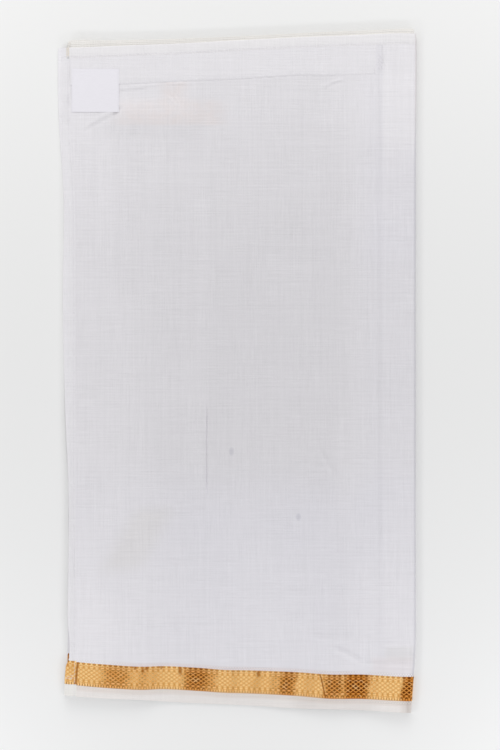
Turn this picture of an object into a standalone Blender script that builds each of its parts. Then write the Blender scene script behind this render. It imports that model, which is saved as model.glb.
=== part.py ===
"""A folded dhoti: white cotton cloth with a gold zari border, folded flat into six layers.

Metres, +Z up. The pack lies on its underside at z = 0 with its middle at the origin, the zari border
towards -Y and the cut end of the cloth, with its hem, at -X. The sizes below are in millimetres.

The top layer is a wall of cloth that starts at the end hem, crosses the pack, turns round the last fold
at +X and comes back under it. The five layers that it hides share one solid, which shows each of them
at its edges: folds at the sides, and woven edges at the two ends.
"""

import math
from collections import namedtuple

import bmesh
import bpy
from mathutils import Vector

MM = 0.001

WALL = 1.0  # one layer of cloth, with the air in it
SEAM_GAP = 0.3  # between two pieces that meet at a seam or lie on each other
LAYERS_HIGH = 5.0  # top of the five hidden layers
TOP_FACE = LAYERS_HIGH + SEAM_GAP + WALL
LOWEST_FACE = WALL + 0.2  # outer face of the cloth where it hangs down to the surface below

NOSE_DEPTH = 3.8  # how far the last fold reaches past the flat of the cloth
NOSE_STEPS = 8
FLAT_STEPS = 30  # columns of the cloth's mesh across the flat
TUCK = 12.0  # how far the cloth comes back under the pack, before the hidden layers take over

LEFT_FALL_OUT = 6.5  # the end of the cloth falls from this far outside the hidden layers' left edge
LEFT_FALL_IN = 3.0  # to this far inside it
END_FALL = 16.0  # length over which the lower edge droops

BROAD_SWELL = 0.5  # unevenness of the flat of the cloth
BROAD_LENGTH_X, BROAD_LENGTH_Y = 58.0, 95.0  # lengths of its waves over 2 pi
BROAD_START_X, BROAD_START_Y = 0.6, -0.4  # and where they start
WAVES_START, WAVES_FULL = -225.0, -275.0  # the border's own waves grow between these places along y
SWELL_MARGIN = 30.0  # all unevenness dies away over this much before the last fold

HEM_RISE = 0.5  # a turned hem is this much thicker than the cloth
TOP_HEM_DEEP = 10.4
TOP_HEM_RISE = 0.4
HEM_END = -308.8  # the end hem stops a little short of the cloth beside it

BAND_RIGHT = 132.3  # cut end of the waist band
LABEL_LEFT, LABEL_RIGHT = -157.2, -112.2
LABEL_HIGH, LABEL_LOW = 286.6, 245.8
LABEL_WALL = 0.8
LABEL_BEND = 21.0  # past the waist band it comes down over this length
LABEL_LIFT = 0.8  # but its free lower edge still stands this far off the cloth

CUT_ROUND = 0.45  # rounding of a single layer's edge
CORNER = 2.5  # corner radius of the hidden layers

# The sides of the pack, by y: the cloth's left edge, its end hem's inner edge, the hidden layers' left
# edge, and the outside of the last fold.
Side = namedtuple("Side", "y left hem_inner layers_left right")
SIDES = (
    Side(-325, -164.4, -153.0, -161.1, 165.7),
    Side(-303, -164.3, -152.6, -161.1, 167.1),
    Side(-265, -162.1, -152.1, -161.1, 169.6),
    Side(-218, -161.6, -152.1, -160.6, 169.9),
    Side(-123, -160.9, -153.0, -160.2, 169.7),
    Side(-28, -164.0, -153.0, -160.6, 169.9),
    Side(67, -165.9, -153.0, -160.6, 169.7),
    Side(162, -164.9, -153.6, -160.6, 169.9),
    Side(238, -169.7, -158.2, -161.1, 170.0),
    Side(295, -170.6, -158.7, -161.6, 170.6),
    Side(325, -169.6, -158.7, -161.6, 170.0),
)

# The ends of the pack, by x: the top edge of the hidden layers and of the cloth, the waist band's lower
# edge, the zari border's two edges, the woven edge below it, how far that edge droops to the surface
# (0 to 1), and how high the border's own waves stand.
Across = namedtuple("Across", "x layers_top top band_low zari_high zari_low edge droop wave")
ACROSS = (
    Across(-164, 313.6, 307.1, 270.5, -275.0, -297.4, -309.9, 0.00, 0.10),
    Across(-149, 314.7, 307.1, 271.0, -277.0, -299.1, -309.9, 0.00, 0.50),
    Across(-126, 313.9, 308.1, 271.5, -279.0, -301.2, -311.4, 0.00, 0.20),
    Across(-92, 314.7, 309.5, 272.6, -281.1, -303.1, -312.8, 0.25, 0.70),
    Across(-69, 315.2, 310.3, 273.9, -280.6, -302.5, -314.7, 0.85, 0.20),
    Across(-35, 316.4, 311.9, 275.5, -282.3, -304.3, -316.6, 1.00, 0.60),
    Across(-12, 317.3, 313.3, 276.5, -284.2, -306.0, -317.5, 1.00, 0.20),
    Across(12, 318.5, 314.5, 277.6, -284.6, -306.6, -318.5, 1.00, 0.60),
    Across(56, 320.7, 316.7, 280.4, -286.3, -308.9, -320.4, 0.65, 0.15),
    Across(88, 322.3, 318.0, 280.2, -288.5, -311.6, -321.3, 0.25, 0.70),
    Across(119, 323.4, 319.2, 281.8, -288.6, -311.8, -322.3, 0.05, 0.20),
    Across(153, 325.1, 320.6, 282.5, -290.6, -313.7, -324.7, 0.00, 0.40),
    Across(167, 325.1, 320.5, 282.5, -290.8, -314.1, -325.1, 0.00, 0.00),
)

# The hidden layers, from the lowest: height of the two faces, how far each edge lies inside the pack's
# outline, and the fold that joins it to a neighbour at either side, where it has one.
Layer = namedtuple("Layer", "low high left left_fold right right_fold top bottom droop")
LAYERS = (
    Layer(0.00, 1.30, 0.0, "a", NOSE_DEPTH + TUCK + SEAM_GAP, None, 4.6, 0.3, 7.5),
    Layer(1.35, 2.20, 0.0, "a", 2.4, "c", 2.4, 1.8, 8.2),
    Layer(2.25, 3.10, 1.3, "b", 2.4, "c", 0.7, 4.0, 10.9),
    Layer(3.15, 4.05, 1.3, "b", 2.4, "d", 1.8, 2.2, 13.5),
    Layer(4.10, LAYERS_HIGH, 3.0, None, 2.4, "d", 0.0, 3.5, 16.1),
)

# A place across the cloth: its share of the flat, its turn round the last fold, and its way back under.
Station = namedtuple("Station", "share turn tuck")
Spot = namedtuple("Spot", "point normal")
SLOPE_STEP = 0.5  # the slope at a point is taken over this much to either side


def along(table, column, place):
    """A table's column as a smooth curve through its rows, read at any place along the first column."""
    keys = [row[0] for row in table]
    values = [getattr(row, column) for row in table]
    place = min(max(place, keys[0]), keys[-1])
    last = len(keys) - 1
    i = max(k for k in range(last) if keys[k] <= place)

    def slope(k):
        before, after = max(k - 1, 0), min(k + 1, last)
        return (values[after] - values[before]) / (keys[after] - keys[before])

    step = keys[i + 1] - keys[i]
    t = (place - keys[i]) / step
    ends = values[i] * (1 + 2 * t) * (1 - t) ** 2 + values[i + 1] * t * t * (3 - 2 * t)
    return ends + step * (slope(i) * t * (1 - t) ** 2 - slope(i + 1) * t * t * (1 - t))


def ease(t):
    """0 to 1 with level ends."""
    t = min(max(t, 0.0), 1.0)
    return t * t * (3 - 2 * t)


def swell(x, y):
    """How far the cloth stands above its flattest lie."""
    wave = math.sin(x / BROAD_LENGTH_X + BROAD_START_X) * math.cos(y / BROAD_LENGTH_Y + BROAD_START_Y)
    broad = BROAD_SWELL * (1 + wave) / 2
    in_border = ease((WAVES_START - y) / (WAVES_START - WAVES_FULL))
    waves = along(ACROSS, "wave", x) * in_border
    inside_fold = along(SIDES, "right", y) - NOSE_DEPTH - x
    return (broad * (1 - in_border) + waves) * ease(inside_fold / SWELL_MARGIN)


def cloth_height(x, y):
    """Height of the top layer's outer face."""
    past_layers = along(SIDES, "layers_left", y) - x
    fallen = ease((past_layers + LEFT_FALL_IN) / (LEFT_FALL_OUT + LEFT_FALL_IN))
    from_edge = y - along(ACROSS, "edge", x)
    drooped = along(ACROSS, "droop", x) * (1 - ease(from_edge / END_FALL))
    spare = TOP_FACE - LOWEST_FACE + swell(x, y)
    return LOWEST_FACE + spare * (1 - fallen) * (1 - drooped)


def flat_spot(x, y):
    """A point of the top layer's outer face, with its normal."""
    across = cloth_height(x + SLOPE_STEP, y) - cloth_height(x - SLOPE_STEP, y)
    up = cloth_height(x, y + SLOPE_STEP) - cloth_height(x, y - SLOPE_STEP)
    normal = Vector((-across, -up, 2 * SLOPE_STEP)).normalized()
    return Spot(Vector((x, y, cloth_height(x, y))), normal)


def fold_spot(station, y):
    """A point of the last fold, which is half an ellipse down to the surface below, or of the tuck."""
    x = along(SIDES, "right", y) - NOSE_DEPTH
    half = cloth_height(x, y) / 2
    out, up = math.sin(station.turn), math.cos(station.turn)
    point = Vector((x + NOSE_DEPTH * out - station.tuck, y, half * (1 + up)))
    return Spot(point, Vector((out / NOSE_DEPTH, 0, up / half)).normalized())


def station_x(station, y):
    """Where a station lies across the cloth, on the flat or at the foot of the last fold."""
    left = along(SIDES, "hem_inner", y) + SEAM_GAP
    return left + station.share * (along(SIDES, "right", y) - NOSE_DEPTH - left)


def cloth_spot(station, y):
    return fold_spot(station, y) if station.turn else flat_spot(station_x(station, y), y)


def edge_y(station, column, shift):
    """The y at which a station meets an edge that runs a little aslant."""
    y = along(ACROSS, column, 0)
    for _ in range(3):
        y = along(ACROSS, column, station_x(station, y))
    return y + shift


def stations(count):
    flat = [Station(i / count, 0.0, 0.0) for i in range(count + 1)]
    nose = [Station(1.0, math.pi * (i + 1) / NOSE_STEPS, 0.0) for i in range(NOSE_STEPS)]
    return flat + nose + [Station(1.0, math.pi, TUCK)]


def strip(places, high, low, shares):
    """Rows of spots on the cloth, from its high edge to its low one. An edge is (column, shift)."""
    tops = [edge_y(station, *high) for station in places]
    feet = [edge_y(station, *low) for station in places]
    return [
        [cloth_spot(s, top + (foot - top) * share) for s, top, foot in zip(places, tops, feet)]
        for share in shares
    ]


def moved_out(grid, distance):
    """The spots' points moved along their normals. distance may be a function of the row and the column."""
    far = distance if callable(distance) else lambda i, j: distance
    return [[s.point + s.normal * far(i, j) for j, s in enumerate(row)] for i, row in enumerate(grid)]


def finish_object(name, mesh, material):
    bmesh.ops.recalc_face_normals(mesh, faces=mesh.faces)
    data = bpy.data.meshes.new(name)
    mesh.to_mesh(data)
    mesh.free()
    data.shade_smooth()
    data.set_sharp_from_angle(angle=math.radians(40))
    data.materials.append(material)
    piece = bpy.data.objects.new(name, data)
    bpy.context.scene.collection.objects.link(piece)
    return piece


def wall(name, outer, inner, material):
    """A closed wall of cloth between two grids of points, with a rim round its edges."""
    mesh = bmesh.new()
    rows, columns = len(outer), len(outer[0])
    top = [[mesh.verts.new(p * MM) for p in row] for row in outer]
    under = [[mesh.verts.new(p * MM) for p in row] for row in inner]
    for i in range(rows - 1):
        for j in range(columns - 1):
            mesh.faces.new((top[i][j], top[i + 1][j], top[i + 1][j + 1], top[i][j + 1]))
            mesh.faces.new((under[i][j], under[i][j + 1], under[i + 1][j + 1], under[i + 1][j]))
    for i in (0, rows - 1):
        for j in range(columns - 1):
            mesh.faces.new((top[i][j], top[i][j + 1], under[i][j + 1], under[i][j]))
    for j in (0, columns - 1):
        for i in range(rows - 1):
            mesh.faces.new((top[i][j], top[i + 1][j], under[i + 1][j], under[i][j]))
    return finish_object(name, mesh, material)


def shares(count, crowding=1.0):
    """count + 1 shares from 0 to 1, closer together towards 1 where crowding is above 1."""
    return [1 - (1 - i / count) ** crowding for i in range(count + 1)]


def fabric(name, colour, roughness, metallic=0.0):
    material = bpy.data.materials.new(name)
    material.use_nodes = True
    shader = material.node_tree.nodes["Principled BSDF"]
    shader.inputs["Base Color"].default_value = (*colour, 1.0)
    shader.inputs["Roughness"].default_value = roughness
    shader.inputs["Metallic"].default_value = metallic
    material.diffuse_color = (*colour, 1.0)
    return material


def make_cloth(cotton, zari, cream):
    """The top layer, woven in one: its turned top hem, white ground, gold border and cream edge."""
    places = stations(FLAT_STEPS)
    hem_low = ("top", -TOP_HEM_DEEP)
    panel_high = ("top", -TOP_HEM_DEEP - SEAM_GAP)
    pieces = (
        ("top_hem", ("top", 0), hem_low, shares(2), TOP_HEM_RISE, cotton),
        ("top_panel", panel_high, ("zari_high", SEAM_GAP), shares(26, 1.3), 0, cotton),
        ("zari_border", ("zari_high", 0), ("zari_low", SEAM_GAP), shares(3), 0, zari),
        ("selvedge", ("zari_low", 0), ("edge", 0), shares(3), 0, cream),
    )
    made, rows_y = [], []
    for name, high, low, row_shares, rise, material in pieces:
        grid = strip(places, high, low, row_shares)
        rows_y += [row[0].point.y for row in grid]
        # The rise dies away round the fold, where the cloth goes under the pack.
        raised = moved_out(grid, lambda i, j, rise=rise: rise * (1 + math.cos(places[j].turn)) / 2)
        made.append(wall(name, raised, moved_out(grid, -WALL), material))
    return made, rows_y


def make_end_hem(cotton, rows_y):
    """The turned cut end of the cloth. Its rows are those of the pieces that it borders."""
    ys = [y for y, after in zip(rows_y, rows_y[1:]) if y - after > 2 * SEAM_GAP]
    ys = [y for y in ys if y > HEM_END] + [HEM_END]
    grid = []
    for y in ys:
        left, right = along(SIDES, "left", y), along(SIDES, "hem_inner", y)
        xs = [left + (right - left) * share for share in shares(6)]
        grid.append([flat_spot(x, y) for x in xs])
    return wall("end_hem", moved_out(grid, HEM_RISE), moved_out(grid, -WALL), cotton)


def make_waist_band(cotton):
    """A strip of cloth on the top layer, from the end hem to its own cut end, against the top hem."""
    grid = []
    for share in shares(3):
        row = []
        for part in shares(24):
            left = along(SIDES, "hem_inner", 295) + SEAM_GAP
            x = left + part * (BAND_RIGHT - left)
            high = along(ACROSS, "top", x) - TOP_HEM_DEEP - SEAM_GAP
            y = high + share * (along(ACROSS, "band_low", x) - high)
            row.append(flat_spot(x, y))
        grid.append(row)
    return wall("waist_band", moved_out(grid, SEAM_GAP + WALL), moved_out(grid, SEAM_GAP), cotton)


def make_label(satin):
    """A square label, sewn down on the waist band, whose lower edge hangs free over the cloth."""
    on_band = 2 * SEAM_GAP + WALL
    grid, lifts = [], []
    for share in shares(6):
        y = LABEL_HIGH + share * (LABEL_LOW - LABEL_HIGH)
        xs = [LABEL_LEFT + part * (LABEL_RIGHT - LABEL_LEFT) for part in shares(5)]
        grid.append([flat_spot(x, y) for x in xs])
        past_band = along(ACROSS, "band_low", LABEL_LEFT) - WALL - y
        lifts.append(on_band - (on_band - LABEL_LIFT) * ease(past_band / LABEL_BEND))
    outer = moved_out(grid, lambda i, j: lifts[i] + LABEL_WALL)
    return wall("label", outer, moved_out(grid, lambda i, j: lifts[i]), satin)


def fold_span(layer, fold):
    """Lowest and highest face of the layers that this fold joins, or of the layer alone."""
    column, name = fold
    joined = [layer] if name is None else [other for other in LAYERS if getattr(other, column) == name]
    return min(one.low for one in joined), max(one.high for one in joined)


def rounding(layer, z, fold=(None, None)):
    """How far the edge lies inside its furthest reach at height z: a round fold, or a single edge."""
    low, high = fold_span(layer, fold)
    if fold[1] is None:
        return CUT_ROUND if z in (low, high) else 0.0
    radius = (high - low) / 2
    return radius - math.sqrt(max(radius**2 - (z - low - radius) ** 2, 0.0))


def outline(along_sides, along_ends):
    """Shares (across, up) round a rectangle, with a few points at each rounded corner."""
    across, up = CORNER / (2 * SIDES[-1].right), CORNER / (2 * ACROSS[-1].layers_top)
    turns = [math.pi / 2 * k / 3 for k in range(4)]
    corner = [(across * (1 - math.sin(a)), up * (1 - math.cos(a))) for a in turns]
    side = [(0.0, up + (1 - 2 * up) * k / along_sides) for k in range(1, along_sides)]
    end = [(across + (1 - 2 * across) * k / along_ends, 1.0) for k in range(1, along_ends)]
    left = corner + side
    top = [(u, 1 - v) for u, v in reversed(corner)] + end
    half = left + top
    return half + [(1 - u, 1 - v) for u, v in half]


def layer_ring(layer, z, places):
    """The outline of one hidden layer at height z."""
    left_in = layer.left + rounding(layer, z, ("left_fold", layer.left_fold))
    right_in = layer.right + rounding(layer, z, ("right_fold", layer.right_fold))
    end_in = rounding(layer, z)
    ring = []
    for u, v in places:
        x, y = 0.0, 0.0
        for _ in range(3):
            high = along(ACROSS, "layers_top", x) - layer.top - end_in
            set_back = layer.bottom + layer.droop * along(ACROSS, "droop", x) + end_in
            low = along(ACROSS, "edge", x) + set_back
            y = low + v * (high - low)
            left = along(SIDES, "layers_left", y) + left_in
            x = left + u * (along(SIDES, "right", y) - right_in - left)
        ring.append(Vector((x, y, z)))
    return ring


def make_folded_layers(cream):
    """The five hidden layers as one solid, from a stack of outlines: four for each layer."""
    places = outline(along_sides=22, along_ends=20)
    rings = []
    for layer in LAYERS:
        thick = layer.high - layer.low
        heights = (layer.low, layer.low + thick / 4, layer.high - thick / 4, layer.high)
        rings += [layer_ring(layer, z, places) for z in heights]
    mesh = bmesh.new()
    loops = [[mesh.verts.new(p * MM) for p in ring] for ring in rings]
    count = len(places)
    for lower, upper in zip(loops, loops[1:]):
        for k in range(count):
            mesh.faces.new((lower[k], lower[(k + 1) % count], upper[(k + 1) % count], upper[k]))
    mesh.faces.new(loops[0])
    mesh.faces.new(loops[-1])
    return finish_object("folded_layers", mesh, cream)


def main():
    for old in list(bpy.data.objects):
        bpy.data.objects.remove(old)
    cotton = fabric("white_cotton", (0.76, 0.75, 0.79), 0.85)
    cream = fabric("cream_selvedge", (0.78, 0.75, 0.71), 0.85)
    zari = fabric("gold_zari", (0.60, 0.37, 0.13), 0.38, 0.6)
    satin = fabric("label_satin", (0.84, 0.84, 0.88), 0.6)
    cloth, rows_y = make_cloth(cotton, zari, cream)
    pieces = [
        *cloth,
        make_end_hem(cotton, rows_y),
        make_waist_band(cotton),
        make_label(satin),
        make_folded_layers(cream),
    ]
    pack = bpy.data.objects.new("dhoti", None)
    bpy.context.scene.collection.objects.link(pack)
    for piece in pieces:
        piece.parent = pack


main()
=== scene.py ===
"""Looks of the folded dhoti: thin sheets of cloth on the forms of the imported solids.

Blender works in metres. The sizes, places and tables below are millimetres in the same frame: +X towards
the last fold, +Y towards the top hem, +Z up from the surface that the pack lies on.
"""

import math
import random
from collections import namedtuple

import bpy
import numpy as np
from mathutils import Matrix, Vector


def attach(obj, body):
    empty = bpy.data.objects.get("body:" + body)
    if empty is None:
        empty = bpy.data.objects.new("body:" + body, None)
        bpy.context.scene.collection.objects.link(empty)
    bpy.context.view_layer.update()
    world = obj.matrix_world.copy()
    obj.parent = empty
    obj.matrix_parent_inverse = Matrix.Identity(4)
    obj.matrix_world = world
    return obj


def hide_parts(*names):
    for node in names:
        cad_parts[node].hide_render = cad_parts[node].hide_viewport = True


MM = 0.001

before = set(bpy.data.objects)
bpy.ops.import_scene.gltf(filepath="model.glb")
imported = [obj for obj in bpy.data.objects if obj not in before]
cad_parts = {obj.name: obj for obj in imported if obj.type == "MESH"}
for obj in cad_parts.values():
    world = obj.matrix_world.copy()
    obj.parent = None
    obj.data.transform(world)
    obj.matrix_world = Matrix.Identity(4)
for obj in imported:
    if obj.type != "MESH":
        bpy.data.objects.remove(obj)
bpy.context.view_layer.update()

# ---------------------------------------------------------------- sizes, as the solids have them

WALL = 1.0
SEAM_GAP = 0.3
LAYERS_HIGH = 5.0
TOP_FACE = LAYERS_HIGH + SEAM_GAP + WALL
LOWEST_FACE = WALL + 0.2
NOSE_DEPTH = 3.8
TUCK = 12.0
LEFT_FALL_OUT, LEFT_FALL_IN = 6.5, 3.0
END_FALL = 16.0
BROAD_SWELL = 0.5
BROAD_LENGTH_X, BROAD_LENGTH_Y = 58.0, 95.0
BROAD_START_X, BROAD_START_Y = 0.6, -0.4
WAVES_START, WAVES_FULL = -225.0, -275.0
SWELL_MARGIN = 30.0
HEM_RISE = 0.4
HEM_SEAM = 2.2  # its stitches run this far from its inner edge
TOP_HEM_DEEP = 10.4
TOP_HEM_SEAM = 8.4  # its stitches run this far below the edge
TOP_HEM_RISE = 0.4
HEM_END = -308.8
BAND_RIGHT = 132.3
LABEL_LEFT, LABEL_RIGHT = -157.2, -112.2
LABEL_HIGH, LABEL_LOW = 286.6, 245.8

# The sides of the pack, by y: the cloth's left edge, its end hem's inner edge, the hidden layers' left
# edge, and the outside of the last fold.
Side = namedtuple("Side", "y left hem_inner layers_left right")
SIDES = (
    Side(-325, -164.4, -153, -161.1, 165.7),
    Side(-303, -164.3, -152.6, -161.1, 167.1),
    Side(-265, -162.1, -152.1, -161.1, 169.6),
    Side(-218, -161.6, -152.1, -160.6, 169.9),
    Side(-123, -160.9, -153, -160.2, 169.7),
    Side(-28, -164, -153, -160.6, 169.9),
    Side(67, -165.9, -153, -160.6, 169.7),
    Side(162, -164.9, -153.6, -160.6, 169.9),
    Side(238, -169.7, -158.2, -161.1, 170),
    Side(295, -170.6, -158.7, -161.6, 170.6),
    Side(325, -169.6, -158.7, -161.6, 170),
)

# The ends of the pack, by x: the top edge of the hidden layers and of the cloth, the waist band's lower
# edge, the zari border's two edges, the woven edge below it, how far that edge droops to the surface
# (0 to 1), and how high the border's own waves stand.
Across = namedtuple("Across", "x layers_top top band_low zari_high zari_low edge droop wave")
ACROSS = (
    Across(-164, 313.6, 307.1, 270.5, -275, -297.4, -309.9, 0, 0.1),
    Across(-149, 314.7, 307.1, 271, -277, -299.1, -309.9, 0, 0.5),
    Across(-126, 313.9, 308.1, 271.5, -279, -301.2, -311.4, 0, 0.2),
    Across(-92, 314.7, 309.5, 272.6, -281.1, -303.1, -312.8, 0.25, 0.7),
    Across(-69, 315.2, 310.3, 273.9, -280.6, -302.5, -314.7, 0.85, 0.2),
    Across(-35, 316.4, 311.9, 275.5, -282.3, -304.3, -316.6, 1, 0.6),
    Across(-12, 317.3, 313.3, 276.5, -284.2, -306, -317.5, 1, 0.2),
    Across(12, 318.5, 314.5, 277.6, -284.6, -306.6, -318.5, 1, 0.6),
    Across(56, 320.7, 316.7, 280.4, -286.3, -308.9, -321.2, 0.75, 0.15),
    Across(88, 322.3, 318, 280.2, -288.5, -311.6, -321.8, 0.4, 0.7),
    Across(119, 323.4, 319.2, 281.8, -288.6, -311.8, -322.8, 0.5, 0.2),
    Across(153, 325.1, 320.6, 282.5, -290.6, -313.7, -324.7, 0, 0.4),
    Across(167, 325.1, 320.5, 282.5, -290.8, -314.1, -325.1, 0, 0),
)

# How far the end hem's free edge lies inside the solid's, by y. Just above the border a layer underneath
# peeps out beside it.
HemIndent = namedtuple("HemIndent", "y indent")
HEM_INDENTS = (
    HemIndent(-325, 0),
    HemIndent(-281, 0),
    HemIndent(-275, 2.4),
    HemIndent(-258, 2.6),
    HemIndent(-240, 0.9),
    HemIndent(-215, 0.8),
    HemIndent(-110, 0.8),
    HemIndent(-60, 0.2),
    HemIndent(-20, 0),
    HemIndent(325, 0),
)

# The hidden layers, from the lowest: the height of each sheet's middle, and how far each of its edges
# lies inside the pack's outline.
Layer = namedtuple("Layer", "z left right top bottom droop")
LAYERS = (
    Layer(0.3, 0, NOSE_DEPTH + TUCK - 1, 4.6, 0.3, 7.5),
    Layer(1.75, 0, 2.4, 2.4, 5.2, 8.2),
    Layer(2.7, 1.3, 2.4, 0.7, 4, 10.9),
    Layer(3.62, 1.3, 2.4, 1.8, 2.2, 13.5),
    Layer(4.6, 3, 2.4, 0, 3.5, 16.1),
)

# ---------------------------------------------------------------- sizes of what is added here

SHEET = 0.4  # thickness of one layer of the cloth
INNER_SHEET = 0.5
HEM_THICK = 1.1  # the end hem is turned twice
HEM_NOMINAL = 10.0  # and about this wide
HEM_SAG = 2.2  # its free edge hangs down beside the layers
HEM_EDGE_HIGH = 0.65  # and lies this high where it reaches the surface below
TOP_HEM_THICK = 1.2
BAND_FACE, BAND_THICK = 0.60, 0.6  # the waist band's outer face above the cloth, and its thickness
LABEL_SHEET = 0.20
THREAD, LABEL_THREAD, LOOSE_RADIUS = 0.17, 0.13, 0.14  # radii of the sewing threads

# The zari border, from its upper edge: a row of arches, a row of lenses, the net of lozenges, a second
# row of lenses, and beads along the lower edge.
BORDER_DEEP = 23.3
CELL_WIDE, CELL_HIGH = 5.07, 3.9
CELL_START = 107.7  # the middle of one arch, and of the lozenges below it
NET_START = 7.2
ARCH_MIDDLE, ARCH_RADIUS, ARCHES_DEEP = 1.1, 1.75, 3.0
ARCH_SQUEEZE = 0.85  # an arch is a little wider than it is high
LENS_ROWS = (4.1, 18.5)
LENS_WIDE, LENS_HIGH = 1.75, 0.85
NET_END = 20.8
BEAD_PITCH, BEAD_MIDDLE = CELL_WIDE / 2, 21.9
PICOT_PITCH, PICOT_ROW = 2.53, 1.5  # white floats in the cloth beside the border
PICOTS_DEEP = 3.9
RIB_ABOVE = 9.0  # a denser rib runs along the ground this far above the border

INNER_EDGE_X = 134.8  # the edge of a layer underneath shows through the cloth here

# Creases of the cloth, placed one by one: each is a soft ridge, or a trough where its height is negative,
# along a bowed line. lean adds the opposite of it, at that share, beside it. tone is the painted shade
# along its middle, and the same share of painted light beside it.
Crease = namedtuple("Crease", "x0 y0 x1 y1 bow height width lean tone", defaults=(0.0,))
CREASES = (
    # the pinched line in the middle of the front, and the faint one across its head
    Crease(-28, -22, -28.2, -127, -0.85, -0.95, 0.58, 0.25),
    Crease(-28, -32.3, -15, -32.6, 0.2, -0.22, 0.7, 0),
    # from the label's corner
    Crease(-147.5, 227.2, -111, 246.6, 0.9, -0.5, 1.6, 0.5, 0.05),
    Crease(-118, 241, -109, 252.5, 0.3, -0.4, 1.8, 0.3, 0.05),
    # the double crease under the waist band, and its smaller neighbours
    Crease(-117, 266, -84, 268.6, -1.2, -0.26, 1.2, 0.6, 0.035),
    Crease(-108, 270.3, -70, 272, -0.8, 0.22, 1.5, 0),
    Crease(-66, 273, -47, 274, -0.5, 0.2, 1.3, 0),
    Crease(-68, 262, -56, 251, 1, 0.22, 1.1, 0.5, -0.025),
    Crease(-61, 264, -54, 252, 0.6, 0.18, 1, 0.5, -0.025),
    Crease(103.5, 277, 79, 267.5, -2.4, 0.45, 1.1, 0.6, -0.035),
    Crease(88, 262, 96, 258, 0.5, 0.15, 1.4, 0),
    # beside the waist band's cut end
    Crease(137.4, 311.5, 138, 296.5, 0.5, -0.42, 0.8, 0.3, 0.045),
    Crease(135.6, 300, 141, 287, 0.6, -0.3, 0.8, 0.4, 0.035),
    Crease(141, 303, 137, 285.5, -0.5, -0.22, 0.8, 0.3, 0.045),
    Crease(135.6, 288, 135, 258, 0.3, -0.16, 1.3, 0.2),
    # the lower right: a diagonal, an arc and a fold at the last fold's foot
    Crease(95, -98.5, 80, -71, 1.2, -0.6, 1.9, 0.6, 0.03),
    Crease(88, -89, 58, -85, 0.5, -0.36, 1.8, 0.4, 0.024),
    Crease(121.5, -277.5, 90, -262, -1.8, -0.85, 2, 0.6, 0.04),
    Crease(170, -278.4, 112, -277, -0.4, -0.6, 1.4, 0.7, 0.038),
    Crease(114, -252, 68, -250.4, 0.4, -0.52, 2.8, 0.6, 0.03),
    Crease(138, -262.6, 168, -261.4, 0.4, 0.5, 1.6, 0.9, -0.012),
    Crease(97, -166, 101, -169, 0.2, -0.18, 0.8, 0.3),
    # along the left, beside the end hem
    Crease(-147, 214, -139, 120, 1, 0.16, 2, 0.5),
    Crease(-149, -150, -144, -268, -1.4, 0.22, 2.2, 0.5),
    Crease(-141, -236, -118, -262, 2, 0.15, 2.6, 0.5),
)

# The border's own creases: puckers at its upper edge, the sharp one across it, and its soft waves.
BORDER_CREASES = (
    Crease(-97.5, -277, -99, -287, 0.4, -0.5, 1, 0.8),
    Crease(-92, -277.5, -88, -287.5, -0.4, -0.6, 1.1, 0.8),
    Crease(-83.5, -276.5, -80, -289, 0.5, -0.4, 1.3, 0.8),
    Crease(-67.5, -276, -66, -285, 0.3, -0.5, 1, 0.8),
    Crease(-49.5, -278, -48.5, -290, 0.4, -0.55, 1.1, 0.8),
    Crease(78.2, -287, 83.6, -311.5, 0.5, -0.95, 0.65, 0.5),
    Crease(-30, -279, -36, -300, 0.8, -0.35, 2.2, 0.7),
    Crease(48, -283, 52, -308, 0.8, -0.35, 2.4, 0.7),
    Crease(104, -284, 109, -310, 0.8, -0.4, 2.6, 0.7),
    Crease(126.5, -286, 128, -313, 0.5, -0.3, 2, 0.6),
)

# Where those creases turn the metal away from the light: marks at the upper edge, y below it, and the
# sharp line across, which starts at CROSSING_X and leans by CROSSING_SLANT.
Pucker = namedtuple("Pucker", "x y half_x half_y")
BORDER_PUCKERS = (
    Pucker(-97, 1.2, 1.7, 2.6),
    Pucker(-89.5, 4, 1.8, 2.6),
    Pucker(-86, 1.6, 2.4, 2.4),
    Pucker(-72, 1.2, 1.4, 2.2),
    Pucker(-54, 3.6, 2.4, 6),
    Pucker(20, 3, 2, 4),
)
CROSSING_X, CROSSING_SLANT = 78.9, 0.225

# How the border's metal catches the light, by x: its dark stretches, 0 to 1, and how fast each starts
# and stops.
Glint = namedtuple("Glint", "x half soft dark")
GLINTS = (
    Glint(-113, 14, 17, 0.5),
    Glint(-88, 4, 8, 0.36),
    Glint(-77.5, 3, 7, 0.3),
    Glint(-72, 5, 7, 0.15),
    Glint(-37, 11, 13, 0.81),
    Glint(-24, 6, 8, 0.42),
    Glint(-2, 3, 6, 0.25),
    Glint(21, 3, 7, 0.28),
    Glint(38, 5, 8, 0.34),
    Glint(49, 6.5, 9, 0.79),
    Glint(70, 4, 8, 0.25),
    Glint(93, 12, 8, 0.76),
    Glint(114.5, 20, 9, 1),
    Glint(132, 1.5, 4, 0.2),
    Glint(163.5, 5.5, 6, 1),
)


# ---------------------------------------------------------------- curves and surfaces


def column(table, name):
    return np.array([getattr(row, name) for row in table], float)


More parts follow.
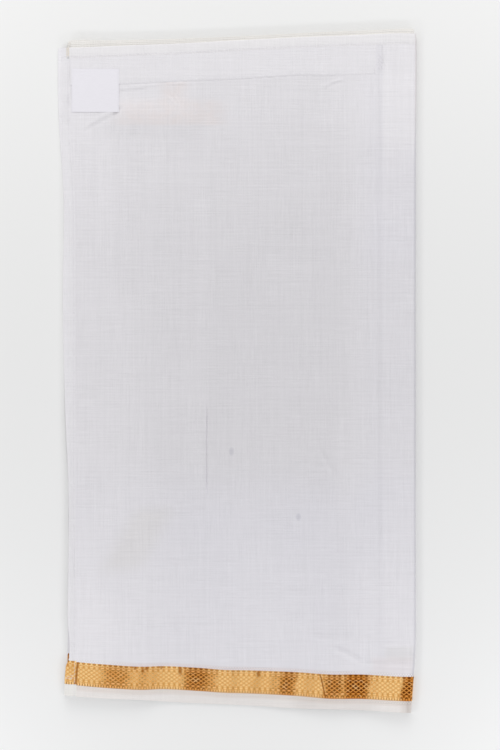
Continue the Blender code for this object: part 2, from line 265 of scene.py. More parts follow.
def along(table, name, place):
    """A table's column as a smooth curve through its rows, read at places along its first column."""
    keys, values = column(table, table[0]._fields[0]), column(table, name)
    place = np.clip(np.asarray(place, float), keys[0], keys[-1])
    padded_keys = np.concatenate(([keys[0]], keys, [keys[-1]]))
    padded = np.concatenate(([values[0]], values, [values[-1]]))
    slopes = (padded[2:] - padded[:-2]) / (padded_keys[2:] - padded_keys[:-2])
    i = np.clip(np.searchsorted(keys, place, side="right") - 1, 0, len(keys) - 2)
    step = keys[i + 1] - keys[i]
    t = (place - keys[i]) / step
    ends = values[i] * (1 + 2 * t) * (1 - t) ** 2 + values[i + 1] * t * t * (3 - 2 * t)
    return ends + step * (slopes[i] * t * (1 - t) ** 2 - slopes[i + 1] * t * t * (1 - t))


def ease(t):
    t = np.clip(t, 0.0, 1.0)
    return t * t * (3 - 2 * t)


def bell(value, middle, width):
    return np.exp(-(((value - middle) / width) ** 2))


def swell(x, y):
    wave = np.sin(x / BROAD_LENGTH_X + BROAD_START_X) * np.cos(y / BROAD_LENGTH_Y + BROAD_START_Y)
    broad = BROAD_SWELL * (1 + wave) / 2
    in_border = ease((WAVES_START - y) / (WAVES_START - WAVES_FULL))
    waves = along(ACROSS, "wave", x) * in_border
    inside_fold = along(SIDES, "right", y) - NOSE_DEPTH - x
    return (broad * (1 - in_border) + waves) * ease(inside_fold / SWELL_MARGIN)


def cloth_height(x, y):
    """Height of the top layer's outer face, as the solids have it."""
    past_layers = along(SIDES, "layers_left", y) - x
    fallen = ease((past_layers + LEFT_FALL_IN) / (LEFT_FALL_OUT + LEFT_FALL_IN))
    from_edge = y - along(ACROSS, "edge", x)
    drooped = along(ACROSS, "droop", x) * (1 - ease(from_edge / END_FALL))
    spare = TOP_FACE - LOWEST_FACE + swell(x, y)
    return LOWEST_FACE + spare * (1 - fallen) * (1 - drooped)


def on_crease(crease, x, y):
    """How a place lies to a crease: its share of the way along, and its distance aside. The places are
    arrays for its height and a material's Values for its tone."""
    across, up = crease.x1 - crease.x0, crease.y1 - crease.y0
    length = math.hypot(across, up)
    dx, dy = x - crease.x0, y - crease.y0
    share = dx * (across / length**2) + dy * (up / length**2)
    bowed = share * (1.0 - share) * (4 * crease.bow)
    return share, dy * (across / length) - dx * (up / length) - bowed


def crease_height(crease, x, y):
    share, aside = on_crease(crease, x, y)
    ends = ease(share / 0.22) * ease((1 - share) / 0.22)
    body = bell(aside, 0, crease.width)
    beside = bell(aside, 2.2 * crease.width, 1.4 * crease.width)
    return crease.height * ends * (body - crease.lean * beside)


def pucker_height(x, y):
    """Short puckers where the waist band's lower seam gathers the cloth."""
    below = along(ACROSS, "band_low", x) - y
    near = ease((below + 1.0) / 1.5) * (1 - ease(below / 9.0)) * ease((BAND_RIGHT + 3 - x) / 6.0)
    ripple = np.sin(x / 1.45 + 1.7 * np.sin(x / 11.0)) * (0.5 + 0.5 * np.sin(x / 17.0 + 1.1))
    roll = bell(below, 2.1, 0.9) * ease((BAND_RIGHT + 1 - x) / 60.0)
    return 0.08 * ripple * near + 0.14 * roll


def relief(x, y):
    """What the sheets add to the solids' form: creases, puckers, the edge of a layer underneath and the
    rib above the border."""
    total = np.zeros(np.broadcast(x, y).shape)
    for crease in CREASES + BORDER_CREASES:
        total = total + crease_height(crease, x, y)
    total = total + pucker_height(x, y)
    total = total - 0.12 * bell(x, INNER_EDGE_X, 1.3) * ease((y + 290) / 40.0)
    above_border = y - along(ACROSS, "zari_high", x)
    total = total + 0.16 * bell(above_border, RIB_ABOVE, 0.9)
    # nothing stands proud of the last fold or the fallen left end
    inside = along(SIDES, "right", y) - NOSE_DEPTH - x
    outside = x - along(SIDES, "layers_left", y)
    return total * ease(inside / 8.0) * ease(outside / 6.0)


def skin_height(x, y):
    """Height of the sheet's outer face, on the flat of the cloth."""
    return cloth_height(x, y) + relief(x, y)


class Surface(namedtuple("Surface", "points normals")):
    """Points of a surface and its directions there, as arrays (..., 3)."""

    def raised(self, rise):
        return self.points + self.normals * np.asarray(rise)[..., None]


SLOPE_STEP = 0.3  # the slope is read this far to each side


def unit(vectors):
    return vectors / np.linalg.norm(vectors, axis=-1, keepdims=True)


def flat_surface(x, y, height=skin_height):
    x, y = np.broadcast_arrays(np.asarray(x, float), np.asarray(y, float))
    across = height(x + SLOPE_STEP, y) - height(x - SLOPE_STEP, y)
    up = height(x, y + SLOPE_STEP) - height(x, y - SLOPE_STEP)
    normals = np.stack([-across, -up, np.full(x.shape, 2 * SLOPE_STEP)], -1)
    return Surface(np.stack([x, y, height(x, y)], -1), unit(normals))


def fold_surface(turn, tuck, y):
    """The last fold, half an ellipse down to the surface below, and the cloth's way back under."""
    turn, tuck, y = np.broadcast_arrays(turn, tuck, y)
    x = along(SIDES, "right", y) - NOSE_DEPTH
    half = skin_height(x, y) / 2
    out, up = np.sin(turn), np.cos(turn)
    points = np.stack([x + NOSE_DEPTH * out - tuck, y, half * (1 + up)], -1)
    return Surface(points, unit(np.stack([out / NOSE_DEPTH, np.zeros(x.shape), up / half], -1)))


def spaced(start, end, pitch, fine=()):
    """Places from start to end, pitch apart, but closer where fine says."""
    way = np.linspace(start, end, 4000)
    density = np.full(way.shape, 1.0 / pitch)
    for middle, half, close in fine:
        density = np.maximum(density, np.where(abs(way - middle) < half, 1.0 / close, 0.0))
    count = np.concatenate(([0.0], np.cumsum((density[1:] + density[:-1]) / 2 * np.diff(way))))
    wanted = np.linspace(0, count[-1], max(2, round(count[-1]) + 1))
    return np.interp(wanted, count, way)


NOSE_STEPS = 14  # columns round the last fold
FLAT_LEFT, FLAT_RIGHT = -153.0, 165.7  # about where the cloth's flat starts and ends


def cloth_columns(pitch, fine=()):
    """The columns of the cloth, as arrays: the share of the flat, the turn round the last fold, the way
    back under it, and what these add to the place along the cloth."""
    flat = spaced(FLAT_LEFT, FLAT_RIGHT, pitch, fine)
    share = (flat - flat[0]) / (flat[-1] - flat[0])
    turns = np.linspace(0, math.pi, NOSE_STEPS + 1)[1:]
    tucks = np.array([4.0, 8.0, TUCK])
    ones = np.ones(len(turns) + len(tucks))
    girth = math.pi * (NOSE_DEPTH + TOP_FACE / 2) / 2
    return (
        np.concatenate((share, ones)),
        np.concatenate((np.zeros(len(share)), turns, np.full(len(tucks), math.pi))),
        np.concatenate((np.zeros(len(share) + len(turns)), tucks)),
        np.concatenate((np.zeros(len(share)), turns / math.pi * girth, girth + tucks)),
    )


def still_up(turn):
    """1 on the flat, 0 where the cloth is turned under."""
    return (1 + np.cos(turn)) / 2


def column_x(share, y, start):
    left = along(SIDES, "hem_inner", y) + start
    return left + share * (along(SIDES, "right", y) - NOSE_DEPTH - left)


def cloth_strip(high, low, row_shares, columns, start=0.0):
    """The cloth between two edges, each (column of ACROSS, shift): its surface and its weave places.
    row_shares run from the high edge to the low one."""
    share, turn, tuck, extra = columns
    edges = []
    for name, shift in (high, low):
        y = along(ACROSS, name, np.zeros(len(share)))
        for _ in range(4):
            y = along(ACROSS, name, column_x(share, y, start))
        edges.append(y + shift)
    y = edges[0] + (edges[1] - edges[0]) * np.asarray(row_shares)[:, None]
    x = column_x(share, y, start)
    flat, fold = flat_surface(x, y), fold_surface(turn, tuck, y)
    round_fold = (turn > 0)[None, :, None]
    points = np.where(round_fold, fold.points, flat.points)
    normals = np.where(round_fold, fold.normals, flat.normals)
    return Surface(points, normals), np.stack([x + extra, y], -1)


# ---------------------------------------------------------------- meshes


SHARP = math.radians(40)  # edges that turn more than this stay crisp


def add_object(name, data):
    thing = bpy.data.objects.new(name, data)
    bpy.context.scene.collection.objects.link(thing)
    return thing


def mesh_object(name, points, faces, maps=None):
    """A mesh object from points in millimetres. maps has its UV maps, one pair for each point."""
    mesh = bpy.data.meshes.new(name)
    mesh.from_pydata((np.asarray(points).reshape(-1, 3) * MM).tolist(), [], faces)
    loops = np.empty(len(mesh.loops), np.int32)
    mesh.loops.foreach_get("vertex_index", loops)
    for map_name, places in (maps or {}).items():
        flat = np.asarray(places, np.float32).reshape(-1, 2)
        mesh.uv_layers.new(name=map_name).data.foreach_set("uv", flat[loops].ravel())
    mesh.shade_smooth()
    mesh.set_sharp_from_angle(angle=SHARP)
    return add_object(name, mesh)


def sheet_object(name, points, places, thickness, outer=0.0, beside=None):
    """A thin closed sheet on a grid of points, whose rows run down and columns to the right: it lies
    from outer above them to thickness below that."""
    normals = unit(np.cross(np.gradient(points, axis=0), np.gradient(points, axis=1)))
    face = points + normals * outer
    back = face - normals * thickness
    count = points.shape[0] * points.shape[1]
    index = np.arange(count).reshape(points.shape[:2])
    quads = np.stack([index[:-1, :-1], index[1:, :-1], index[1:, 1:], index[:-1, 1:]], -1).reshape(-1, 4)
    way = np.concatenate((index[:, 0], index[-1, 1:], index[-2::-1, -1], index[0, -2::-1]))
    rim = np.stack([way[1:], way[:-1], way[:-1] + count, way[1:] + count], -1)
    faces = np.concatenate((quads, quads[:, ::-1] + count, rim)).tolist()
    maps = {"weave": np.stack([places, places])}
    if beside is not None:
        maps["beside"] = np.stack([beside, beside])
    return mesh_object(name, np.stack([face, back]), faces, maps)


def tube_faces(rings, first=0):
    """Faces of a closed tube with flat ends, from its rings of points (rings, points round, 3)."""
    count, around = rings.shape[:2]
    index = np.arange(count * around).reshape(count, around) + first
    after = np.roll(index, -1, axis=1)
    sides = np.stack([index[:-1], after[:-1], after[1:], index[1:]], -1).reshape(-1, 4)
    return sides.tolist() + [index[0, ::-1].tolist(), index[-1].tolist()]


def tube_object(name, rings, places):
    return mesh_object(name, rings, tube_faces(rings), {"weave": places})


def hem_profile(width, thick, flat_steps):
    """(place across, offset) round a turned hem's section, closed: across 0 is its free edge."""
    radius = thick / 2
    turns = np.linspace(0, math.pi, 7)
    under = [(width - radius - (width - thick) * t, -thick) for t in np.linspace(0, 1, 5)[:-1]]
    free = [(radius - radius * math.sin(a), -radius - radius * math.cos(a)) for a in turns]
    top = [(radius + (width - thick) * t, 0.0) for t in np.linspace(0, 1, flat_steps + 1)[1:-1]]
    inner = [(width - radius + radius * math.sin(a), -radius + radius * math.cos(a)) for a in turns[:-1]]
    return under + free + top + inner


THREAD_ROUND = np.arange(6) * math.pi / 3  # the angles of a thread's six sides


class Pile:
    """Many short threads joined into one mesh."""

    def __init__(self):
        self.points, self.faces = [], []

    def add_tube(self, path, radius):
        """A thread along a path, tapered at both ends."""
        ahead = unit(np.gradient(path, axis=0))
        aside = unit(np.cross(ahead, (0.0, 0.0, 1.0)))
        up = np.cross(aside, ahead)
        radii = radius * np.sqrt(np.clip(1 - 0.75 * np.linspace(-1, 1, len(path)) ** 4, 0.1, 1))
        out = np.cos(THREAD_ROUND)[:, None] * aside[:, None] + np.sin(THREAD_ROUND)[:, None] * up[:, None]
        rings = path[:, None] + radii[:, None, None] * out
        self.faces += tube_faces(rings, len(self.points))
        self.points += rings.reshape(-1, 3).tolist()

    def make(self, name):
        return mesh_object(name, self.points, self.faces)


# A row of stitches: the surface along it, each stitch's length, the gap to the next, how high it rises
# from where it dips in, and the seed of its unevenness.
Seam = namedtuple("Seam", "piece surface stitch gap lift radius seed")
JITTER = 0.12
STITCH_DIP = 0.15


def sew(pile, seam):
    """Stitches along a seam: each is a short thread that dips in at its ends."""
    rng = random.Random(seam.seed)
    points, normals = seam.surface
    way = np.concatenate(([0.0], np.cumsum(np.linalg.norm(np.diff(points, axis=0), axis=1))))
    ts = np.linspace(0, 1, 5)
    from_middle = 2 * ts - 1
    place = seam.gap
    while place + seam.stitch < way[-1]:
        stops = place + ts * (seam.stitch * (1 + rng.uniform(-JITTER, JITTER)))
        skew = rng.uniform(-JITTER, JITTER)
        rng.random()  # one draw more, so that the later stitches lie as they do
        centres, ups = (
            np.stack([np.interp(stops, way, column) for column in table.T], -1) for table in (points, normals)
        )
        ahead = centres[-1] - centres[0]
        aside = np.cross(ups, ahead / np.linalg.norm(ahead))
        rise = seam.lift * (1 - from_middle**4) - STITCH_DIP
        pile.add_tube(centres + ups * rise[:, None] + aside * (skew * from_middle)[:, None], seam.radius)
        place += seam.stitch + seam.gap


# ---------------------------------------------------------------- materials


class Value:
    """A number or a colour that differs from place to place. Sums and products of it add shader nodes."""

    def __init__(self, graph, socket):
        self.graph, self.socket = graph, socket

    def math(self, operation, *others, clamp=False):
        inputs = dict(enumerate((self, *others)))
        return self.graph.value("Math", inputs, operation=operation, use_clamp=clamp)

    def __add__(self, other):
        return self.math("ADD", other)

    def __sub__(self, other):
        return self.math("SUBTRACT", other)

    def __rsub__(self, other):
        return self.graph.value("Math", {0: other, 1: self}, operation="SUBTRACT")

    def __mul__(self, other):
        return self.math("MULTIPLY", other)

    __radd__, __rmul__ = __add__, __mul__

    def most(self, other):
        return self.math("MAXIMUM", other)

    def wave(self, pitch, kind="SINE"):
        """From -1 to 1 and back at every pitch."""
        return (self * (2 * math.pi / pitch)).math(kind)

    def ramp(self, start, end, low=0.0, high=1.0):
        """Goes smoothly from low to high while the value goes from start to end."""
        inputs = dict(enumerate((self, start, end, low, high)))
        return self.graph.value("MapRange", inputs, interpolation_type="SMOOTHSTEP")

    def near(self, middle, half, soft):
        """1 within half of middle, fading out over soft."""
        return (self - middle).math("ABSOLUTE").ramp(half, half + soft, 1.0, 0.0)

    def blend(self, first, second):
        """The first colour where the value is 0, the second where it is 1."""
        mix = self.graph.node("Mix", {0: self}, data_type="RGBA")
        for socket, colour in zip((s for s in mix.inputs if s.type == "RGBA"), (first, second)):
            self.graph.put(socket, colour)
        return Value(self.graph, next(s for s in mix.outputs if s.type == "RGBA"))

    def apply_to(self, colour):
        """A colour made lighter or darker, by this factor."""
        return self.graph.value("VectorMath", {0: colour, "Scale": self}, operation="SCALE")

    def bump(self, distance, strength):
        inputs = {"Height": self, "Distance": distance * MM, "Strength": strength}
        return self.graph.value("Bump", inputs)


class Graph:
    """A material and its shader nodes."""

    def __init__(self, name):
        self.material = bpy.data.materials.new(name)
        self.material.use_nodes = True
        self.tree = self.material.node_tree
        self.shader = self.tree.nodes["Principled BSDF"]

    def put(self, socket, value):
        """Links a value to an input, or sets the input to a number or a colour."""
        if isinstance(value, Value):
            self.tree.links.new(value.socket, socket)
        else:
            socket.default_value = (*value, 1.0) if socket.type == "RGBA" else value

    def node(self, kind, inputs, **settings):
        node = self.tree.nodes.new("ShaderNode" + kind)
        for name, setting in settings.items():
            setattr(node, name, setting)
        for key, value in inputs.items():
            self.put(node.inputs[key], value)
        return node

    def value(self, kind, inputs, **settings):
        return Value(self, self.node(kind, inputs, **settings).outputs[0])

    def split(self, source, output):
        """The first two numbers of what a node gives."""
        split = self.node("SeparateXYZ", {0: Value(self, source.outputs[output])})
        return Value(self, split.outputs["X"]), Value(self, split.outputs["Y"])

    def places(self, map_name="weave"):
        """The weave map: millimetres along the cloth and across it. In the map named beside, the second
        is counted from the border's edge."""
        return self.split(self.node("UVMap", {}, uv_map=map_name), "UV")

    def finish(self, colour, roughness, normal=None, metallic=0.0, sheen=0.0, specular=0.3):
        inputs = self.shader.inputs
        self.put(inputs["Base Color"], colour)
        inputs["Roughness"].default_value = roughness
        inputs["Metallic"].default_value = metallic
        inputs["Sheen Weight"].default_value = sheen
        inputs["Sheen Roughness"].default_value = 0.5
        inputs["Specular IOR Level"].default_value = specular
        if normal is not None:
            self.put(inputs["Normal"], normal)
        return self.material


def noise(u, v, along_u, along_v, detail=2.0, offset=0.0):
    """Noise from 0 to 1 whose patches are that long each way."""
    inputs = {0: u * (1.0 / along_u), 1: v * (1.0 / along_v), 2: offset}
    place = u.graph.value("CombineXYZ", inputs)
    return u.graph.value("TexNoise", {"Scale": 1.0, "Detail": detail, "Vector": place})


def round_mark(u, v, mark):
    """1 in the middle of a small soft mark, given by a table's row, and 0 outside it."""
    across = ((u - mark.x) * (1.0 / mark.half_x)).math("POWER", 2.0)
    up = ((v - mark.y) * (1.0 / mark.half_y)).math("POWER", 2.0)
    return (across + up).ramp(0.0, 1.2, 1.0, 0.0)


def square_mark(u, v, mark):
    """The same for a larger patch whose edges fade each way."""
    return u.near(mark.x, mark.half_x, mark.soft_x) * v.near(mark.y, mark.half_y, mark.soft_y)


def distance(a, b):
    return (a * a + b * b).math("SQRT")


THREAD_PITCH = 0.55  # from one thread of the ground to the next
CORD_PITCH = 1.7  # from one cord of the selvedge to the next
WEAVE_BUMP, BUMP_SHARE = 0.12, 0.6
COTTON_ROUGH, COTTON_SHEEN = 0.88, 0.08


def slubs(u, v):
    """Thicker threads and gaps in the weave, as bars both ways: about -1 to 1."""
    bars = noise(u, v, 22.0, 1.15, 1.0) - 0.5
    posts = noise(u, v, 1.15, 20.0, 1.0, 7.3) - 0.5
    long_bars = noise(u, v, 110.0, 1.9, 1.0, 3.1) - 0.5
    long_posts = noise(u, v, 1.9, 110.0, 1.0, 5.7) - 0.5
    lies = noise(u, v, 33.0, 28.0, 1.0, 2.2).ramp(0.42, 0.58)
    stands = noise(u, v, 26.0, 33.0, 1.0, 8.8).ramp(0.42, 0.58)
    short = bars * (lies + 0.7) + posts * (stands + 0.6)
    return short * 2.0 + (long_bars + long_posts) * 2.0


def weave_height(u, v, bars):
    """A plain weave, where warp and weft pass over each other in turn, and its slubs."""
    return u.wave(THREAD_PITCH) * v.wave(THREAD_PITCH) * 0.35 + bars


THIN = (0.751, 0.735, 0.766)  # one layer of the ground over others
COOL = (0.746, 0.733, 0.786)  # the same, where it is a little bluer
THICK = (0.856, 0.838, 0.872)  # where it is turned double
CREAM, INNER_CREAM = (0.872, 0.832, 0.813), (0.872, 0.850, 0.822)
CORNER_CREAM = (0.810, 0.758, 0.700)
HEM_WHITE, TOP_HEM_WHITE = (0.848, 0.832, 0.863), (0.864, 0.847, 0.867)
BAND_WHITE, LABEL_WHITE = (0.838, 0.821, 0.854), (0.874, 0.856, 0.911)
THREAD_WHITE, FLOOR_WHITE = (0.88, 0.86, 0.90), (0.90, 0.90, 0.90)
PINK = (0.835, 0.730, 0.700)  # shows through the cloth below the waist band
SPOT_GREY, SPECK_GREY, LABEL_SHADOW_GREY = (0.36, 0.36, 0.45), (0.42, 0.42, 0.42), (0.42, 0.40, 0.46)
YELLOWED, FOOT_SHADE_GREY, RUBBED = (0.69, 0.665, 0.625), (0.62, 0.60, 0.57), (0.80, 0.69, 0.69)
BY_GOLD, CREAM_BY_GOLD = (0.70, 0.57, 0.55), (0.68, 0.56, 0.49)
DULL_CREAM, FOLD_SHADE_CREAM = (0.68, 0.62, 0.60), (0.46, 0.39, 0.35)
# Painted shade along the last fold: grey on its side, browner near the top where the cloth is also soiled.
FOLD_SHADE_GREY, FOLD_SHADE_SOIL_BROWN = (0.40, 0.42, 0.46), (0.46, 0.36, 0.32)

# Threads that stand out along the cloth and across it: where each is, from where to where, its width
# and how much lighter it is.
Line = namedtuple("Line", "at start end width light")
WEFT_LINES = (
    Line(210.7, 60, 166, 0.6, 0.02),
    Line(214.5, -70, 20, 0.6, 0.014),
    Line(190.7, -30, 166, 0.9, 0.022),
    Line(186.6, -10, 60, 0.5, 0.014),
    Line(163, -20, 90, 0.5, 0.012),
    Line(121.5, 100, 166, 0.8, 0.02),
    Line(116, 90, 166, 0.5, 0.014),
    Line(108, -150, 40, 0.6, 0.014),
    Line(62, -60, 120, 0.6, -0.014),
    Line(28.3, -150, 100, 0.8, 0.014),
    Line(3.6, -140, 60, 0.7, 0.012),
    Line(-33, -140, -30, 1.1, -0.016),
    Line(-72, -150, -110, 0.6, -0.014),
    Line(-129.5, -95, -60, 0.6, -0.016),
    Line(-208, 30, 150, 1, -0.01),
)
WARP_LINES = (
    Line(-41, -40, 200, 0.7, -0.014),
    Line(61.7, 90, 265, 1, -0.022),
    Line(58, 60, 190, 0.6, 0.012),
    Line(102.5, 140, 268, 0.7, 0.018),
    Line(105.5, 150, 262, 0.6, -0.014),
    Line(20, 60, 240, 0.7, -0.012),
    Line(-88, 30, 210, 0.7, -0.01),
    Line(-126, -120, 160, 0.8, -0.01),
)

# How the ground looks doubled towards its sides and ends: from where to where, and the share there.
Fade = namedtuple("Fade", "along start end share")
THICKER = (
    Fade("u", -20, -150, 0.52),
    Fade("u", 80, 126, 0.3),
    Fade("v", 100, 265, 0.4),
    Fade("v", -90, -250, 0.34),
)

# Small round marks, and soft patches of another colour: the middle, half the size, how far a patch's
# edge fades and how much it leans, the share of the colour, and the colour.
Spot = namedtuple("Spot", "x y half_x half_y share colour")
GROUND_SPOTS = (
    Spot(-5.3, -76.7, 2.9, 4.6, 0.26, SPOT_GREY),
    Spot(58.3, -138.9, 2.9, 4, 0.26, SPOT_GREY),
)
HEM_SPOTS = (
    # painted shadow of the label, beside it on the hem
    Spot(-159.8, 257.5, 2.2, 7, 0.12, LABEL_SHADOW_GREY),
    Spot(-160.6, 297.3, 1.7, 1.5, 0.45, SPECK_GREY),
    Spot(-157.3, 294.2, 1.3, 1.6, 0.45, SPECK_GREY),
)
Patch = namedtuple("Patch", "x y half_x half_y soft_x soft_y lean share colour")
GROUND_PATCHES = (
    Patch(-8, -160, 7, 20, 22, 18, 0.54, 0.26, YELLOWED),
    # painted shade at the foot of the last fold
    Patch(155, -269, 9, 5, 9, 4, 0, 0.2, FOOT_SHADE_GREY),  # at the foot of the last fold
    Patch(148, -300, 16, 24, 8, 7, 0, 0.22, RUBBED),
)
HEM_PATCHES = (Patch(-160, 303.5, 1.9, 4.5, 0.9, 1.6, 0, 1, CORNER_CREAM),)

# Soft reaches of the ground where it is a little lighter or darker: the middle, half the size, how far
# the edge fades, and the share.
Tone = namedtuple("Tone", "x y half_x half_y soft_x soft_y lighter")
TONES = (
    Tone(125, 185, 25, 15, 30, 30, -0.018),
    Tone(0, 222, 400, 8, 1, 30, -0.01),
    Tone(-83, 254, 28, 5, 20, 6, 0.034),
    Tone(-83, 230, 36, 4, 25, 9, -0.028),
    Tone(-40, 40, 5, 130, 12, 40, 0.018),
    Tone(-102, 150, 8, 60, 14, 40, -0.014),
    Tone(-118, -180, 10, 20, 14, 25, -0.012),
    Tone(155, 300, 14, 10, 8, 12, -0.016),
)


def marked(u, v, colour, spots=(), patches=()):
    """A colour with the spots and patches of a table."""
    for patch in patches:
        place = u - v * patch.lean if patch.lean else u
        colour = (square_mark(place, v, patch) * patch.share).blend(colour, patch.colour)
    for mark in spots:
        colour = (round_mark(u, v, mark) * mark.share).blend(colour, mark.colour)
    return colour


def drawn_lines(u, v, lines):
    """The share by which each line of the table lightens the cloth, added up."""
    total = 0.0
    for line in lines:
        run = u.near((line.start + line.end) / 2, (line.end - line.start) / 2 - 12.0, 14.0)
        total = v.near(line.at, 0.0, line.width * 1.6) * run * line.light + total
    return total


def painted_crease_shade(u, v):
    """Painted shade along the creases and painted light beside them, added up; below 0 is lighter."""
    total = 0.0
    for crease in CREASES:
        if not crease.tone:
            continue
        share, aside = on_crease(crease, u, v)
        half, soft = 0.4 * crease.width, 1.2 * crease.width
        beside = aside.near(2.2 * crease.width, half, soft) * crease.lean
        line = (aside.near(0.0, half, soft) - beside) * share.near(0.5, 0.26, 0.24)
        total = line * crease.tone + total
    return total


def picots(g):
    """White floats in the cloth beside the border: from -1 between them to 1 on one, fading out."""
    u, away = g.places("beside")
    rows = away * (1 / PICOT_ROW)
    across = (u + rows.math("FLOOR") * (PICOT_PITCH / 2)).wave(PICOT_PITCH, "COSINE")
    up = (rows - 0.5).wave(1.0, "COSINE")
    patchy = noise(u, away, 22.0, 6.0, 1.0, 3.3).ramp(0.32, 0.60, 0.3, 1.0)
    rightward = u.ramp(-80.0, 10.0, 0.35, 1.0)
    nearby = away.ramp(PICOTS_DEEP - 1.2, PICOTS_DEEP, 1.0, 0.0)
    return (across * 0.8 + up * 0.2 - 0.05) * nearby * (patchy * rightward)


def beside_gold(g, reach):
    """The cloth beside the border, where its threads float: 1 at the gold, 0 at reach from it."""
    return g.places("beside")[1].ramp(reach * 0.5, reach, 1.0, 0.0)


def shaded_soiled_fold(u, v, colour):
    """Painted shade along the last fold, greyer below, and browner near the top where it is also soiled."""
    turn = v.ramp(-250.0, -300.0, 170.4, 167.6) + v.ramp(190.0, 250.0, 0.0, 1.6)
    tone = v.ramp(215.0, 260.0).blend(FOLD_SHADE_GREY, FOLD_SHADE_SOIL_BROWN)
    return ((u - turn).near(0.0, 1.2, 2.2) * 0.30).blend(colour, tone)


def ground_colour(u, v):
    """The cloth's white: thicker and lighter towards the sides, the hems and in soft blotches."""
    thick = u.ramp(136.5, 141.0, 0.0, v.ramp(185.0, 225.0, 0.10, 0.36))
    for fade in THICKER:
        thick = thick + (u if fade.along == "u" else v).ramp(fade.start, fade.end, 0.0, fade.share)
    blotch = (noise(u, v, 60.0, 75.0, 3.0, 1.4) - 0.5) * 0.55
    thick = thick.math("ADD", blotch, clamp=True)
    cooler_side = u.ramp(100.0, 140.0) * (1.0 - v.near(-4.0, 80.0, 60.0) * 0.6)
    bluer = v.ramp(-70.0, -150.0, 0.0, 0.75).math("ADD", cooler_side, clamp=True)
    return thick.blend(bluer.blend(THIN, COOL), THICK)


def pink_share(u, v):
    """A label on a layer underneath shows through, soft-edged."""
    pink = u.near(-64.0, 36.0, 26.0) * v.ramp(231.5, 235.5)
    lower = v.ramp(250.0, 262.0, 1.0, u.near(-60.0, 5.0, 14.0))
    return pink * lower * noise(u, v, 9.0, 7.0, 2.0, 9.0).ramp(0.3, 0.7, 0.55, 1.0) * 0.36


def ground_shade(u, v, bars, dots):
    """How much lighter or darker the cloth is than its colour, from its threads, what lies below and the
    painted shade of its creases.
    """
    edge = u.near(INNER_EDGE_X + 1.0, 1.2, 2.0) * v.ramp(-60.0, 270.0, 0.45, 1.0)
    paler = u.near(20.0, 40.0, 50.0) * v.ramp(-90.0, -130.0, 0.0, 0.022)
    shade = 1.0 + (drawn_lines(u, v, WEFT_LINES) + drawn_lines(v, u, WARP_LINES)) + paler
    shade = shade + bars * 0.033 + dots * 0.56 - edge * 0.035 - painted_crease_shade(u, v)
    for tone in TONES:
        shade = shade + square_mark(u, v, tone) * tone.lighter
    return shade


def ground_material():
    g = Graph("white_cotton_ground")
    u, v = g.places()
    bars, dots = slubs(u, v), picots(g)
    colour = pink_share(u, v).blend(ground_colour(u, v), PINK)
    colour = marked(u, v, colour, GROUND_SPOTS, GROUND_PATCHES)
    by_gold = u.near(0.0, 95.0, 40.0) * beside_gold(g, 4.4) * 0.30
    colour = by_gold.blend(colour, BY_GOLD)
    colour = shaded_soiled_fold(u, v, ground_shade(u, v, bars, dots).apply_to(colour))
    height = weave_height(u, v, bars) + dots * 1.5
    return g.finish(colour, 0.9, height.bump(WEAVE_BUMP, 0.5), sheen=COTTON_SHEEN)


def cotton_material(name, colour, seed, mark=None):
    """Plain cotton of one colour, with its slubs. mark takes (u, v, colour) and adds to it."""
    g = Graph(name)
    u, v = g.places()
    bars = slubs(u + seed * 31.0, v)
    shade = 1.0 + (noise(u, v, 30.0, 9.0, 2.0, seed) - 0.5) * 0.05 + bars * 0.022
    if mark is not None:
        colour = mark(u, v, colour)
    normal = weave_height(u, v, bars).bump(WEAVE_BUMP, BUMP_SHARE)
    return g.finish(shade.apply_to(colour), COTTON_ROUGH, normal, sheen=COTTON_SHEEN)


def hem_marks(u, v, base):
    """The hem has painted light on its free edge, up to its head, against the shade of its slope. At its top
    corner the cream edge that is turned in shows beside it, and a painted shadow lies beside the label."""
    # painted light on the free edge, against the shade that its slope has
    lighter = u.ramp(-157.0, -163.0, 0.0, 0.07) * v.ramp(238.0, 222.0)
    seam = u.near(-159.6, 1.1, 1.2) * v.ramp(222.0, 238.0, 0.0, 0.055)
    base = (v.ramp(222.0, 238.0, 1.0, 1.05) + lighter - seam).apply_to(base)
    return marked(u, v, base, HEM_SPOTS, HEM_PATCHES)


def selvedge_material(name, colour, seen=False):
    """The cream woven edge, corded along it. The one that shows is duller, has floats beside the gold,
    and painted shade at the last fold."""
    g = Graph(name)
    u, v = g.places()
    bars = slubs(u + 124.0, v)
    cords = v.wave(CORD_PITCH)
    shade = 1.0 + (noise(u, v, 26.0, 5.0, 2.0, 4.0) - 0.5) * 0.08 + (bars + cords * 0.35) * 0.022
    if seen:
        shade = shade + picots(g) * 0.46
        colour = (u.near(93.0, 26.0, 22.0) * 0.30).blend(colour, DULL_CREAM)
        colour = (beside_gold(g, 6.5) * 0.32).blend(colour, CREAM_BY_GOLD)
        # painted shade where the edge turns round the last fold
        at_fold = u.near(163.5, 1.2, 3.2) * 0.30 + u.near(160.0, 1.5, 6.0) * 0.25
        colour = at_fold.blend(colour, FOLD_SHADE_CREAM)
    normal = (weave_height(u, v, bars) + cords * 0.8).bump(WEAVE_BUMP, BUMP_SHARE)
    return g.finish(shade.apply_to(colour), COTTON_ROUGH, normal, sheen=COTTON_SHEEN)


# The metal's colours where the light falls well on it, and where it doesn't.
PALE_GOLD, SHADED_GOLD, DARK_GOLD = (1.00, 0.685, 0.315), (0.46, 0.188, 0.036), (0.118, 0.024, 0.002)
LINE_BRIGHT, LINE_DARK = (0.79, 0.390, 0.108), (0.76, 0.310, 0.062)  # the threads round a lozenge
RIM_BRIGHT, RIM_DARK = (0.74, 0.34, 0.080), (0.36, 0.110, 0.012)
RING_DARK, CORE_BROWN, BEAD_GAP = (0.62, 0.245, 0.046), (0.26, 0.070, 0.006), (0.50, 0.185, 0.034)
GOLD_SPECULAR_TINT = (1.0, 0.70, 0.35)


